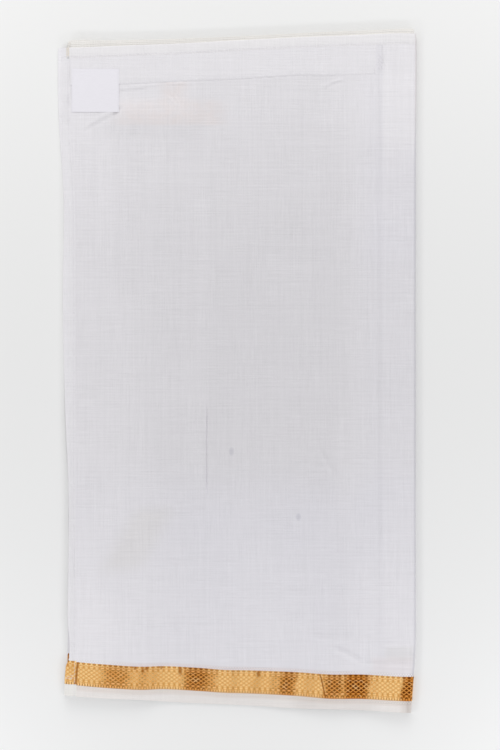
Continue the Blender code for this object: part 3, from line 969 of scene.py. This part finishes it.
def lozenges(u, depth, cell, dark):
    """The net: its colour, and 1 in the middle of each lozenge, 0 on the threads round it."""
    down = (depth - NET_START) * (1 / CELL_HIGH)
    slant = (cell + down).math("PINGPONG", 0.5).most((cell - down).math("PINGPONG", 0.5))
    middle = 1.0 - slant * 2.0
    # painted glints on the threads round the lozenges
    painted_glints = noise(u, depth, 6.0, 5.0, 1.0, 12.0).ramp(0.50, 0.66) * 0.55
    lines = painted_glints.blend(dark.blend(LINE_BRIGHT, LINE_DARK), dark.blend(LINE_BRIGHT, PALE_GOLD))
    pale = middle.ramp(0.12, 0.46).blend(lines, dark.blend(PALE_GOLD, SHADED_GOLD))
    core = dark.ramp(0.05, 0.45).blend(LINE_BRIGHT, SHADED_GOLD)
    core = dark.ramp(0.30, 1.0).blend(core, DARK_GOLD)
    core_from = dark.ramp(0.04, 0.60, 0.80, 0.16)
    return middle.ramp(core_from, core_from + 0.30).blend(pale, core), middle


def zari_marks(u, depth, shown):
    """The painted shadow of the end hem's edge and, on the border that shows, the painted shade of its
    puckers and crossing.
    """
    # painted shadow cast by the end hem's edge onto the gold
    marks = (u + depth * 0.10).near(-151.2, 0.6, 0.7) * 0.72
    if shown:
        for pucker in BORDER_PUCKERS:
            marks = marks.most(round_mark(u, depth, pucker) * 0.75)
        crossed = u - (depth * CROSSING_SLANT + CROSSING_X)
        marks = marks.most(crossed.near(0.0, 0.25, 0.9) * 0.85)
    return marks


def zari_material(name, shown=True, duller=0.0):
    """Woven gold: a net of lozenges between rows of arches, lenses and beads."""
    g = Graph(name)
    u, depth = g.places()
    if shown:
        dark = glint_share(u, depth)
    else:
        # off the border, the metal's painted shade starts at duller and varies at random
        dark = noise(u, depth, 12.0, 12.0).ramp(0.3, 0.7, duller, duller + 0.22)
    cell = (u - CELL_START) * (1 / CELL_WIDE)
    net, middle = lozenges(u, depth, cell, dark)
    # the arches, with a dark dot in each
    arch_x = cell.math("PINGPONG", 0.5) * CELL_WIDE
    from_arch = distance(arch_x * ARCH_SQUEEZE, depth - ARCH_MIDDLE)
    ring = from_arch.near(ARCH_RADIUS, 0.35, 0.45)
    arches = ring.blend(dark.blend(RIM_BRIGHT, CORE_BROWN), dark.blend(PALE_GOLD, RING_DARK))
    dot = from_arch.ramp(0.35, 1.05, 1.0, 0.0) * dark.ramp(0.3, 1.0, 0.12, 0.9)
    arches = dot.blend(arches, DARK_GOLD)
    colour = depth.ramp(ARCHES_DEEP - 0.3, ARCHES_DEEP + 0.3, 1.0, 0.0).blend(net, arches)
    # the rows of lenses, half a cell along, and the beads
    gap, bright = dark.blend(LINE_BRIGHT, CORE_BROWN), dark.blend(PALE_GOLD, LINE_DARK)
    lens_x = (CELL_WIDE / 2 - arch_x) * (1 / LENS_WIDE)
    for row in LENS_ROWS:
        from_lens = distance(lens_x, (depth - row) * (1 / LENS_HIGH))
        lens = from_lens.ramp(0.75, 1.15, 1.0, 0.0).blend(gap, bright)
        colour = depth.near(row, LENS_HIGH + 0.15, 0.3).blend(colour, lens)
    bead_x = ((u - CELL_START) * (1 / BEAD_PITCH)).math("PINGPONG", 0.5) * BEAD_PITCH
    bead = distance(bead_x, (depth - BEAD_MIDDLE) * 0.55).ramp(0.60, 1.05, 1.0, 0.0)
    beads = bead.blend(dark.blend(BEAD_GAP, CORE_BROWN), bright)
    colour = depth.ramp(NET_END, NET_END + 0.5).blend(colour, beads)
    colour = zari_marks(u, depth, shown).blend(colour, RIM_DARK)
    # toothed outermost threads, and a fine unevenness
    teeth = (u - CELL_START).wave(BEAD_PITCH, "COSINE").ramp(-0.6, 0.6, -0.40, 0.30)
    rim = depth.ramp(1.0, 1.9, 1.0, 0.0).most(depth.ramp(22.4, 23.0))
    fine = noise(u, depth, 1.3, 0.6, 1.0, 4.0)
    colour = ((1.0 + rim * teeth) * fine.ramp(0.25, 0.75, 0.84, 1.16)).apply_to(colour)
    height = u.wave(0.45) + (middle + fine) * 1.5
    g.put(g.shader.inputs["Specular Tint"], GOLD_SPECULAR_TINT)
    return g.finish(colour, 0.45, height.bump(0.10, 0.5), metallic=0.05, specular=0.0)


def glint_share(u, depth):
    """How dark the metal looks along the border, 0 to 1."""
    wander = (noise(u, depth, 9.0, 9.0, 2.0, 6.0) - 0.5) * 10.0
    place = u + depth * 0.12 + wander
    total = 0.06
    for glint in GLINTS:
        total = (place.near(glint.x, glint.half * 0.3, glint.soft * 1.3) * glint.dark).most(total)
    return total


def satin_material():
    g = Graph("label_satin_weave")
    u, v = g.places()
    edge = u.near((LABEL_LEFT + LABEL_RIGHT) / 2, 20.6, 0.5)
    shade = noise(u, v, 6.0, 0.5, 1.0, 2.0).ramp(0.2, 0.8, 0.985, 1.015) + (1.0 - edge) * -0.02
    return g.finish(shade.apply_to(LABEL_WHITE), 0.55, v.wave(0.7).bump(0.04, 0.5), sheen=0.05)


def thread_material():
    g = Graph("white_thread")
    x, y = g.split(g.node("TexCoord", {}), "Object")
    ply = (x * 1000.0 + y * 1000.0).wave(0.4)
    colour = ply.ramp(-1.0, 1.0, 0.93, 1.03).apply_to(THREAD_WHITE)
    return g.finish(colour, 0.7, ply.bump(0.04, 0.5), sheen=0.05)


def floor_material():
    return Graph("pale_floor").finish(FLOOR_WHITE, 0.9, specular=0.1)


# ---------------------------------------------------------------- pieces


def dress(piece, material, slot, *nodes):
    """Gives a piece its material, rides it on the part, and hides the solids it stands for. Its slot is not
    used.
    """
    piece.data.materials.append(material)
    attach(piece, "root")
    if nodes:
        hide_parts(*nodes)


GROUND_DEEP = 587.0  # about, from under the top hem to the border
HEM_OVERLAP = 0.6  # the cloth starts this far under the hems
TUCKED_IN = 0.2  # and this far inside the border

# Where the ground's creases and its rib need closer columns, by x, and closer rows, from its top.
Fine = namedtuple("Fine", "middle half pitch")
FINE_COLUMNS = (
    Fine(-28.8, 2.6, 0.22),
    Fine(-60, 14, 1.2),
    Fine(-105, 16, 1.2),
    Fine(INNER_EDGE_X, 4, 0.9),
)
FINE_ROWS = (Fine(34, 13, 0.8), Fine(62, 20, 2), Fine(GROUND_DEEP - 16, 16, 1))


def make_ground(material):
    columns = cloth_columns(2.3, FINE_COLUMNS)
    shares = spaced(0.0, GROUND_DEEP, 3.4, FINE_ROWS) / GROUND_DEEP
    high, low = ("top", -TOP_HEM_DEEP + HEM_OVERLAP), ("zari_high", -TUCKED_IN)
    surface, places = cloth_strip(high, low, shares, columns, -HEM_OVERLAP)
    above = surface.points[..., 1] - along(ACROSS, "zari_high", surface.points[..., 0])
    beside = np.stack([places[..., 0], above], -1)
    piece = sheet_object("ground_cloth", surface.points, places, SHEET, beside=beside)
    dress(piece, material, "white_cotton", "top_panel")


def from_whole(value):
    """How far a number is from the nearest whole one."""
    return np.abs(value - np.round(value))


BORDER_LIFT, BORDER_THICK = 0.1, 0.55  # metal thread makes the border thicker


def make_border(material):
    """The zari border, with its lozenges in relief."""
    columns = cloth_columns(0.62)
    shares = np.linspace(0, 1, 44)
    surface, places = cloth_strip(("zari_high", 0), ("zari_low", 0), shares, columns)
    u = places[..., 0]
    depth = np.linspace(0, BORDER_DEEP, len(shares))[:, None] + 0 * u
    cell, down = (u - CELL_START) / CELL_WIDE, (depth - NET_START) / CELL_HIGH
    slant = np.maximum(from_whole(cell + down), from_whole(cell - down))
    net = 0.12 * np.cos(np.clip((1 - 2 * slant) / 0.6, 0, 1) * math.pi / 2)
    from_arch = np.hypot(from_whole(cell) * CELL_WIDE * ARCH_SQUEEZE, depth - ARCH_MIDDLE)
    arches = 0.16 * bell(from_arch, ARCH_RADIUS, 0.5)
    beads = 0.14 * bell(np.hypot(from_whole(cell * 2) * BEAD_PITCH, depth - BEAD_MIDDLE), 0, 0.8)
    rise = np.where(depth < ARCHES_DEEP, arches, np.where(depth > NET_END, beads, net))
    rise = rise * ease(depth / 0.8) * ease((BORDER_DEEP - depth) / 0.8)
    points = surface.raised((rise + BORDER_LIFT) * still_up(columns[1]))
    piece = sheet_object("zari_cloth", points, np.stack([u, depth], -1), BORDER_THICK)
    dress(piece, material, "gold_zari", "zari_border")


def make_selvedge(material):
    """The cream edge: corded along it, and fluted towards its woven edge."""
    columns = cloth_columns(1.6)
    shares = np.concatenate((np.linspace(0, 0.9, 14), (0.95, 0.98, 1.0)))
    surface, places = cloth_strip(("zari_low", TUCKED_IN), ("edge", 0), shares, columns)
    u = places[..., 0]
    deep = shares[:, None]
    ribs = 0.05 * np.sin(deep * 2 * math.pi * 5)
    flutes = 0.10 * np.sin(u / 2.9 + 1.3 * np.sin(u / 13.0)) * deep
    points = surface.raised((ribs + flutes) * still_up(columns[1]))
    below = along(ACROSS, "zari_low", points[..., 0]) - points[..., 1]
    piece = sheet_object("lower_edge", points, places, SHEET, beside=np.stack([u, below], -1))
    dress(piece, material, "cream_selvedge", "selvedge")


FLOOR_GAP, HEM_FLOOR_GAP = 0.02, 0.05  # the hems lie no lower than this
SEAM_OVERLAP = 0.2  # pieces sewn together lie over each other by this


def side_hem_rings(y):
    """Rings round the end hem's section at each y. Its flat takes up what its rounded edges leave, its
    seam lies in a groove, its inner side is pressed down, and its free edge hangs and lies below."""
    across, offset = np.array(hem_profile(HEM_NOMINAL, HEM_THICK, 8)).T
    y = y[:, None]
    left = along(SIDES, "left", y) + along(HEM_INDENTS, "indent", y)
    width = along(SIDES, "hem_inner", y) + SEAM_OVERLAP - left
    across = np.where(across > HEM_NOMINAL / 2, width - (HEM_NOMINAL - across), across)
    x = left + across
    groove = np.where(offset == 0, 0.16 * bell(width - across, 2.4, 0.8), 0.0)
    sink = 0.44 * ease((3.2 - (width - across)) / 2.8) * (offset + HEM_THICK) / HEM_THICK
    free = ease(1 - across / 5.0)
    at_edge = skin_height(left, y)
    hanging = HEM_SAG * ease((at_edge - LOWEST_FACE) / 3.0)
    lying = ease((3.0 - at_edge) / 1.5) * (at_edge - HEM_EDGE_HIGH)
    y = np.broadcast_to(y, x.shape)
    face = skin_height(x, y) + HEM_RISE * (1 - free) - free * (hanging + lying)
    z = face + offset * (1 - 0.45 * free) - groove - sink
    return np.stack([x, y, np.maximum(z, HEM_FLOOR_GAP)], -1)


def make_side_hem(cotton, zari, cream):
    """The end hem in the three stretches that the cloth is woven in."""
    high = float(along(ACROSS, "top", -165.0))
    gold_high, gold_low = (float(along(ACROSS, name, -160.0)) for name in ("zari_high", "zari_low"))
    for name, start, end, count, material, slot, nodes in (
        ("side_hem", high, gold_high, 240, cotton, "white_cotton", ("end_hem",)),
        ("side_hem_zari", gold_high, gold_low, 34, zari, "gold_zari", ()),
        ("side_hem_edge", gold_low, HEM_END, 20, cream, "cream_selvedge", ()),
    ):
        y = np.linspace(start, end, count)
        rings = side_hem_rings(y)
        if name == "side_hem_zari":
            weave = np.stack([rings[..., 0], (start - rings[..., 1]) / (start - end) * BORDER_DEEP], -1)
        else:
            weave = rings[..., :2]
        dress(tube_object(name, rings, weave), material, slot, *nodes)


def make_top_hem(material):
    """The turned hem along the top edge, round the last fold with the cloth."""
    columns = cloth_columns(2.0)
    deep, profile = np.array(hem_profile(TOP_HEM_DEEP, TOP_HEM_THICK, 6)).T
    high, low = ("top", 0), ("top", -TOP_HEM_DEEP)
    surface, places = cloth_strip(high, low, deep / TOP_HEM_DEEP, columns, -HEM_OVERLAP)
    deep, profile = deep[:, None], profile[:, None]
    groove = np.where(profile == 0.0, 0.03 * bell(deep, TOP_HEM_SEAM, 0.7), 0.0)
    sink = 0.26 * ease((deep - TOP_HEM_SEAM + 2.6) / 4.4) * (profile + TOP_HEM_THICK) / TOP_HEM_THICK
    points = surface.raised(profile + TOP_HEM_RISE * still_up(columns[1]) - groove - sink)
    points[..., 2] = np.maximum(points[..., 2], FLOOR_GAP)
    rings = points.transpose(1, 0, 2)[::-1]
    piece = tube_object("upper_hem", rings, places.transpose(1, 0, 2)[::-1])
    dress(piece, material, "white_cotton", "top_hem")


BAND_EDGE = 0.04  # how far its face stands off the cloth at its edges


def band_offset(below_top, deep, from_end):
    """How far the waist band's face stands off the cloth: rounded down at its lower and cut edges, and
    fuller away from the cut one."""
    low = ease(0.25 + 0.75 * (deep - below_top) / 1.8)
    end = ease(0.30 + 0.70 * from_end / 1.2)
    fuller = 0.55 + 0.45 * ease((from_end - 4.0) / 50.0)
    return BAND_EDGE + (BAND_FACE - BAND_EDGE) * np.minimum(low, end) * fuller


def make_waist_band(material):
    """The strip of cloth under the top hem, gathered and sewn along its lower edge."""
    left = float(along(SIDES, "hem_inner", 295.0)) + SEAM_OVERLAP
    x = np.concatenate((spaced(left, BAND_RIGHT - 1.0, 1.5), BAND_RIGHT - np.array([0.5, 0.2, 0.0])))
    shares = np.concatenate((np.linspace(0, 0.94, 22), (0.96, 0.975, 0.99, 1.0)))[:, None]
    high = along(ACROSS, "top", x) - TOP_HEM_DEEP + SEAM_OVERLAP
    deep = high - along(ACROSS, "band_low", x)
    y = high - shares * deep
    x = np.broadcast_to(x, y.shape)
    base = flat_surface(x, y, cloth_height)
    offset = band_offset(shares * deep, deep, BAND_RIGHT - x)
    gather = 0.09 * np.sin(x / 1.6 + 1.5 * np.sin(x / 12.0)) * ease((shares - 0.72) / 0.28)
    seam = -0.22 * bell((1 - shares) * deep, 2.4, 0.7)
    bulge = 0.16 * np.sin(x / 23.0 + 2.0) * np.sin(shares * math.pi) ** 2
    points = base.raised(offset + gather + seam + bulge)
    piece = sheet_object("waist_strip", points, np.stack([x, y], -1), BAND_THICK)
    dress(piece, material, "white_cotton", "waist_band")


def label_surface(x, y):
    """The label's face: it lies on the waist band's lower part and the cloth, its lower edge free."""
    past_band = along(ACROSS, "band_low", LABEL_LEFT) - WALL - y
    lift = BAND_FACE - (BAND_FACE - 0.02) * ease(past_band / 7.0) + LABEL_SHEET
    across = np.clip((x - LABEL_LEFT) / (LABEL_RIGHT - LABEL_LEFT), 0, 1)
    down = (LABEL_HIGH - y) / (LABEL_HIGH - LABEL_LOW)
    from_side = np.minimum(x - LABEL_LEFT, LABEL_RIGHT - x)
    lift = lift + 0.06 * (1 + np.sin(down * 9.0) * np.sin(across * 5.0 + 0.5)) * ease(from_side / 4.0)
    lift = lift - 0.16 * ease(1 - from_side / 1.6)
    base = flat_surface(x, y, cloth_height)
    return Surface(base.raised(lift), base.normals)


def make_label(material):
    x, y = np.meshgrid(spaced(LABEL_LEFT, LABEL_RIGHT, 0.9), spaced(LABEL_HIGH, LABEL_LOW, 0.9))
    piece = sheet_object("blank_label", label_surface(x, y).points, np.stack([x, y], -1), LABEL_SHEET)
    dress(piece, material, "label_satin", "label")


# ---------------------------------------------------------------- the hidden layers


def ribbon_stations():
    """The way of the cloth through the hidden layers: for each place, the two layers it lies between,
    the share of the way from one to the other, its share across, and its reach past the fold."""
    flat = np.linspace(0, 1, 26)
    turns = np.linspace(0, math.pi, 9)[1:-1]
    stations = []
    for k in range(len(LAYERS)):
        across = flat[::-1] if k % 2 == 0 else flat
        stations += [(k, k, 0.0, share, 0.0) for share in across]
        if k + 1 < len(LAYERS):
            end = float(across[-1])
            stations += [(k, k + 1, (1 - math.cos(a)) / 2, end, math.sin(a)) for a in turns]
    return stations


def ribbon_strip(rows, from_high, stations):
    """The hidden layers, from rows of (share of the cloth, millimetres from its edge): their points, and
    their weave places, counted from the high edge or the low one."""
    count = len(rows)
    points = np.zeros((count, len(stations), 3))
    places = np.zeros((count, len(stations), 2))
    travelled = np.zeros(count)
    for j, (k, after, blend, share, reach) in enumerate(stations):
        one, two = LAYERS[k], LAYERS[after]
        layer = Layer(*(a + (b - a) * blend for a, b in zip(one, two)))
        fold = abs(two.z - one.z) / 2
        inset = fold + INNER_SHEET / 2
        side = -1.0 if share < 0.5 else 1.0
        x = np.zeros(count)
        for _ in range(3):
            high = along(ACROSS, "layers_top", x) - layer.top
            low = along(ACROSS, "edge", x) + layer.bottom + layer.droop * along(ACROSS, "droop", x)
            y = low + (high - low) * rows[:, 0] + rows[:, 1]
            left = along(SIDES, "layers_left", y) + layer.left + inset
            right = along(SIDES, "right", y) - layer.right - inset
            x = left + (right - left) * share + side * reach * fold
        wobble = 0.25 * np.sin(y / 37.0 + 1.7 * k) + 0.15 * np.sin(y / 13.0 + 2.9 * k)
        x = x + wobble * (abs(2 * share - 1) ** 6)
        points[:, j] = np.stack([x, y, np.full(count, layer.z)], -1)
        if j:
            travelled = travelled + np.linalg.norm(points[:, j] - points[:, j - 1], axis=1)
        places[:, j] = np.stack([travelled, high - y if from_high else y - low], -1)
    return points, places


INNER_EDGE_DEEP, INNER_TOP_DEEP = 12.6, 9.5  # the cream edges of the hidden layers


def make_hidden_layers(cotton, zari, cream):
    """The five layers that the fold hides, one winding cloth: white ground, gold border, cream edges."""
    stations = ribbon_stations()
    gold_top = INNER_EDGE_DEEP + BORDER_DEEP
    for name, start, end, count, material, slot, nodes in (
        ("inner_top_edge", (1, 0), (1, -INNER_TOP_DEEP), 7, cream, "cream_selvedge", ()),
        ("inner_ground", (1, -INNER_TOP_DEEP), (0, gold_top), 60, cotton, "white_cotton", ("folded_layers",)),
        ("inner_zari", (0, gold_top), (0, INNER_EDGE_DEEP), 12, zari, "gold_zari", ()),
        ("inner_lower_edge", (0, INNER_EDGE_DEEP), (0, 0), 8, cream, "cream_selvedge", ()),
    ):
        rows = np.linspace(start, end, count)
        points, places = ribbon_strip(rows, name == "inner_top_edge", stations)
        if name == "inner_zari":
            places[..., 1] = gold_top - places[..., 1]
        piece = sheet_object(name, points, places, INNER_SHEET, outer=INNER_SHEET / 2)
        dress(piece, material, slot, *nodes)


# ---------------------------------------------------------------- sewing


def line_surface(x, y, rise, height=cloth_height):
    base = flat_surface(x, y, height)
    return Surface(base.raised(rise), base.normals)


def seams():
    """The rows of stitches: along both hems, along the waist band's lower edge and its cut end, and
    along the label's upper edge."""
    hem_y = np.linspace(304.0, -313.0, 1200)
    hem_x = along(SIDES, "hem_inner", hem_y) - HEM_SEAM
    top_x = np.linspace(-168.0, 165.0, 800)
    top_y = along(ACROSS, "top", top_x) - TOP_HEM_SEAM
    low_x = np.linspace(-156.0, BAND_RIGHT - 1.0, 700)
    low_y = along(ACROSS, "band_low", low_x) + 2.0
    low_face = band_offset(28.0, 30.0, BAND_RIGHT - low_x)
    end_y = np.linspace(281.5, 308.0, 60)
    end_x = np.full(60, BAND_RIGHT - 1.6)
    end_face = float(band_offset(10.0, 30.0, 1.6))
    label_x = np.linspace(LABEL_LEFT + 0.8, LABEL_RIGHT - 0.8, 120)
    hem = line_surface(hem_x, hem_y, HEM_RISE - 0.2, skin_height)
    top = line_surface(top_x, top_y, TOP_HEM_RISE - 0.2)
    low = line_surface(low_x, low_y, low_face - 0.28)
    end = line_surface(end_x, end_y, end_face)
    label = label_surface(label_x, np.full(120, LABEL_HIGH - 2.6))
    return (
        Seam("side_hem_stitches", hem, 2.6, 0.7, 0.34, THREAD, 3),
        Seam("upper_hem_stitches", top, 2.7, 0.8, 0.34, THREAD, 5),
        Seam("waist_strip_stitches", low, 2.2, 0.7, 0.32, THREAD, 7),
        Seam("waist_strip_stitches", end, 2.0, 0.6, 0.3, THREAD, 8),
        Seam("label_stitches", label, 1.7, 0.5, 0.28, LABEL_THREAD, 9),
    )


def make_stitches(white):
    piles = {}
    for seam in seams():
        sew(piles.setdefault(seam.piece, Pile()), seam)
    for name, pile in piles.items():
        dress(pile.make(name), white, "white_cotton")


# Loose ends of thread: where each starts, its length, its direction in degrees, how it bends, and how
# far it lies above the cloth.
Loose = namedtuple("Loose", "x y length heading bend over")
LOOSE = (
    Loose(134.4, 297.5, 6.5, -62, 24, 0.4),
    Loose(134.6, 293.5, 7.5, -48, -30, 0.4),
    Loose(134.3, 290, 5, -70, 36, 0.4),
    Loose(134.8, 300.5, 4.6, -40, 20, 0.4),
    Loose(-154.8, -288.5, 8.6, 199, 12, 0.6),
    Loose(-155.6, -292, 7.4, 187, -14, 0.6),
    Loose(-156.2, -290, 4.2, 232, 18, 0.6),
)


def make_loose_threads(white):
    pile = Pile()
    for end in LOOSE:
        steps = np.linspace(0, 1, 9)
        headings = np.radians(end.heading + end.bend * steps)
        x, y = (
            start + np.concatenate(([0.0], np.cumsum(way[:-1]))) * end.length / 8
            for start, way in ((end.x, np.cos(headings)), (end.y, np.sin(headings)))
        )
        rise = end.over + 0.35 * np.sin(steps * math.pi)
        pile.add_tube(flat_surface(x, y).raised(rise), LOOSE_RADIUS)
    dress(pile.make("loose_threads"), white, "white_cotton")


# ---------------------------------------------------------------- stage


FLOOR_HALF, FLOOR_DROP = 4000.0, 0.05


def make_floor(material):
    signs = ((-1, -1), (1, -1), (1, 1), (-1, 1))
    corners = [(x * FLOOR_HALF, y * FLOOR_HALF, -FLOOR_DROP) for x, y in signs]
    floor = mesh_object("floor", corners, [(0, 1, 2, 3)])
    floor.data.materials.append(material)


# Soft boxes: where each is and what it points at, in metres, its size, power and colour.
Lamp = namedtuple("Lamp", "name place target size power colour")
LAMPS = (
    Lamp("window", (0.0, 1.30, 0.55), (0.0, -0.10, 0.0), (0.7, 0.5), 5.0, (1.0, 1.0, 0.985)),
    Lamp("low_left", (-0.6, -0.62, 0.50), (-0.6, -0.57, 0.0), (0.4, 0.3), 2.25, (0.99, 1.0, 1.01)),
    Lamp("low_right", (0.6, -0.62, 0.50), (0.6, -0.57, 0.0), (0.4, 0.3), 2.28, (0.99, 1.0, 1.01)),
    Lamp("high_left", (-0.55, 0.50, 0.50), (-0.5, 0.45, 0.0), (0.4, 0.3), 0.98, (1.0, 1.0, 0.99)),
    Lamp("high_right", (0.55, 0.50, 0.50), (0.5, 0.45, 0.0), (0.4, 0.3), 0.90, (1.0, 1.0, 0.99)),
)


def add_lamp(lamp):
    light = bpy.data.lights.new(lamp.name, "AREA")
    light.shape = "RECTANGLE"
    light.size, light.size_y = lamp.size
    light.energy = lamp.power
    light.color = lamp.colour
    box = add_object(lamp.name, light)
    box.location = lamp.place
    box.rotation_euler = (Vector(lamp.target) - Vector(lamp.place)).to_track_quat("-Z", "Y").to_euler()
    box.visible_camera = False


PICTURE_MIDDLE = (12.26, -4.04)  # what the middle of the view looks at
PICTURE_HIGH = 712.5
CAMERA_UP = 2600.0
SENSOR = 36.0


def add_camera():
    data = bpy.data.cameras.new("camera")
    data.sensor_fit = "VERTICAL"
    data.sensor_height = SENSOR
    data.lens = SENSOR * (CAMERA_UP - TOP_FACE) / PICTURE_HIGH
    data.clip_end = 50.0
    camera = add_object("camera", data)
    camera.location = (PICTURE_MIDDLE[0] * MM, PICTURE_MIDDLE[1] * MM, CAMERA_UP * MM)
    bpy.context.scene.camera = camera


WORLD_LIGHT = 0.55


def set_up_stage():
    make_floor(floor_material())
    for lamp in LAMPS:
        add_lamp(lamp)
    world = bpy.data.worlds.new("studio")
    world.use_nodes = True
    background = world.node_tree.nodes["Background"]
    background.inputs["Color"].default_value = (1.0, 1.0, 1.0, 1.0)
    background.inputs["Strength"].default_value = WORLD_LIGHT
    bpy.context.scene.world = world
    bpy.context.scene.view_settings.view_transform = "Standard"
    add_camera()


# The cut of each stretch of cloth: its size across and along the cloth, how it lies, on what, and the
# pieces that go with it.
Cut = namedtuple("Cut", "piece width length held rests_on going_with")
FRONT_LONG = 346.5  # the front, the last fold and the way back under it
WINDING_LONG = 1635.0  # the hidden layers, end to end
CUTS = (
    Cut("ground_cloth", 583.0, FRONT_LONG, "folded", "inner_ground", "side_hem upper_hem"),
    Cut("zari_cloth", BORDER_DEEP, FRONT_LONG, "folded", "inner_zari", "side_hem_zari"),
    Cut("lower_edge", 11.4, FRONT_LONG, "folded", "inner_lower_edge", "side_hem_edge"),
    Cut("waist_strip", 27.2, 292.0, "laid", "ground_cloth", "waist_strip_stitches"),
    Cut("blank_label", 42.0, 45.6, "laid", "waist_strip ground_cloth", "label_stitches"),
    Cut("inner_ground", 575.0, WINDING_LONG, "folded", "floor", "inner_top_edge"),
    Cut("inner_zari", BORDER_DEEP, WINDING_LONG, "folded", "floor", ""),
    Cut("inner_lower_edge", INNER_EDGE_DEEP, WINDING_LONG, "folded", "floor", ""),
)


def declare_sheets():
    for cut in CUTS:
        cut.width * MM
        cut.rests_on.split()
        cut.going_with.split()


def main():
    hem = cotton_material("white_cotton_hem", HEM_WHITE, 1.0, hem_marks)
    top_hem = cotton_material("white_cotton_top_hem", TOP_HEM_WHITE, 5.0, shaded_soiled_fold)
    inner = cotton_material("white_cotton_inner", THIN, 3.0)
    inner_cream = selvedge_material("cream_selvedge_inner", INNER_CREAM)
    white = thread_material()

    make_ground(ground_material())
    make_border(zari_material("gold_zari_border"))
    make_selvedge(selvedge_material("cream_selvedge_cloth", CREAM, seen=True))
    make_side_hem(hem, zari_material("gold_zari_hem", shown=False), inner_cream)
    make_top_hem(top_hem)
    make_waist_band(cotton_material("white_cotton_band", BAND_WHITE, 2.0))
    make_label(satin_material())
    # the hidden gold is painted duller: partly shade where it lies between the layers, partly wear
    make_hidden_layers(inner, zari_material("gold_zari_inner", shown=False, duller=0.45), inner_cream)
    make_stitches(white)
    make_loose_threads(white)
    declare_sheets()
    set_up_stage()


main()
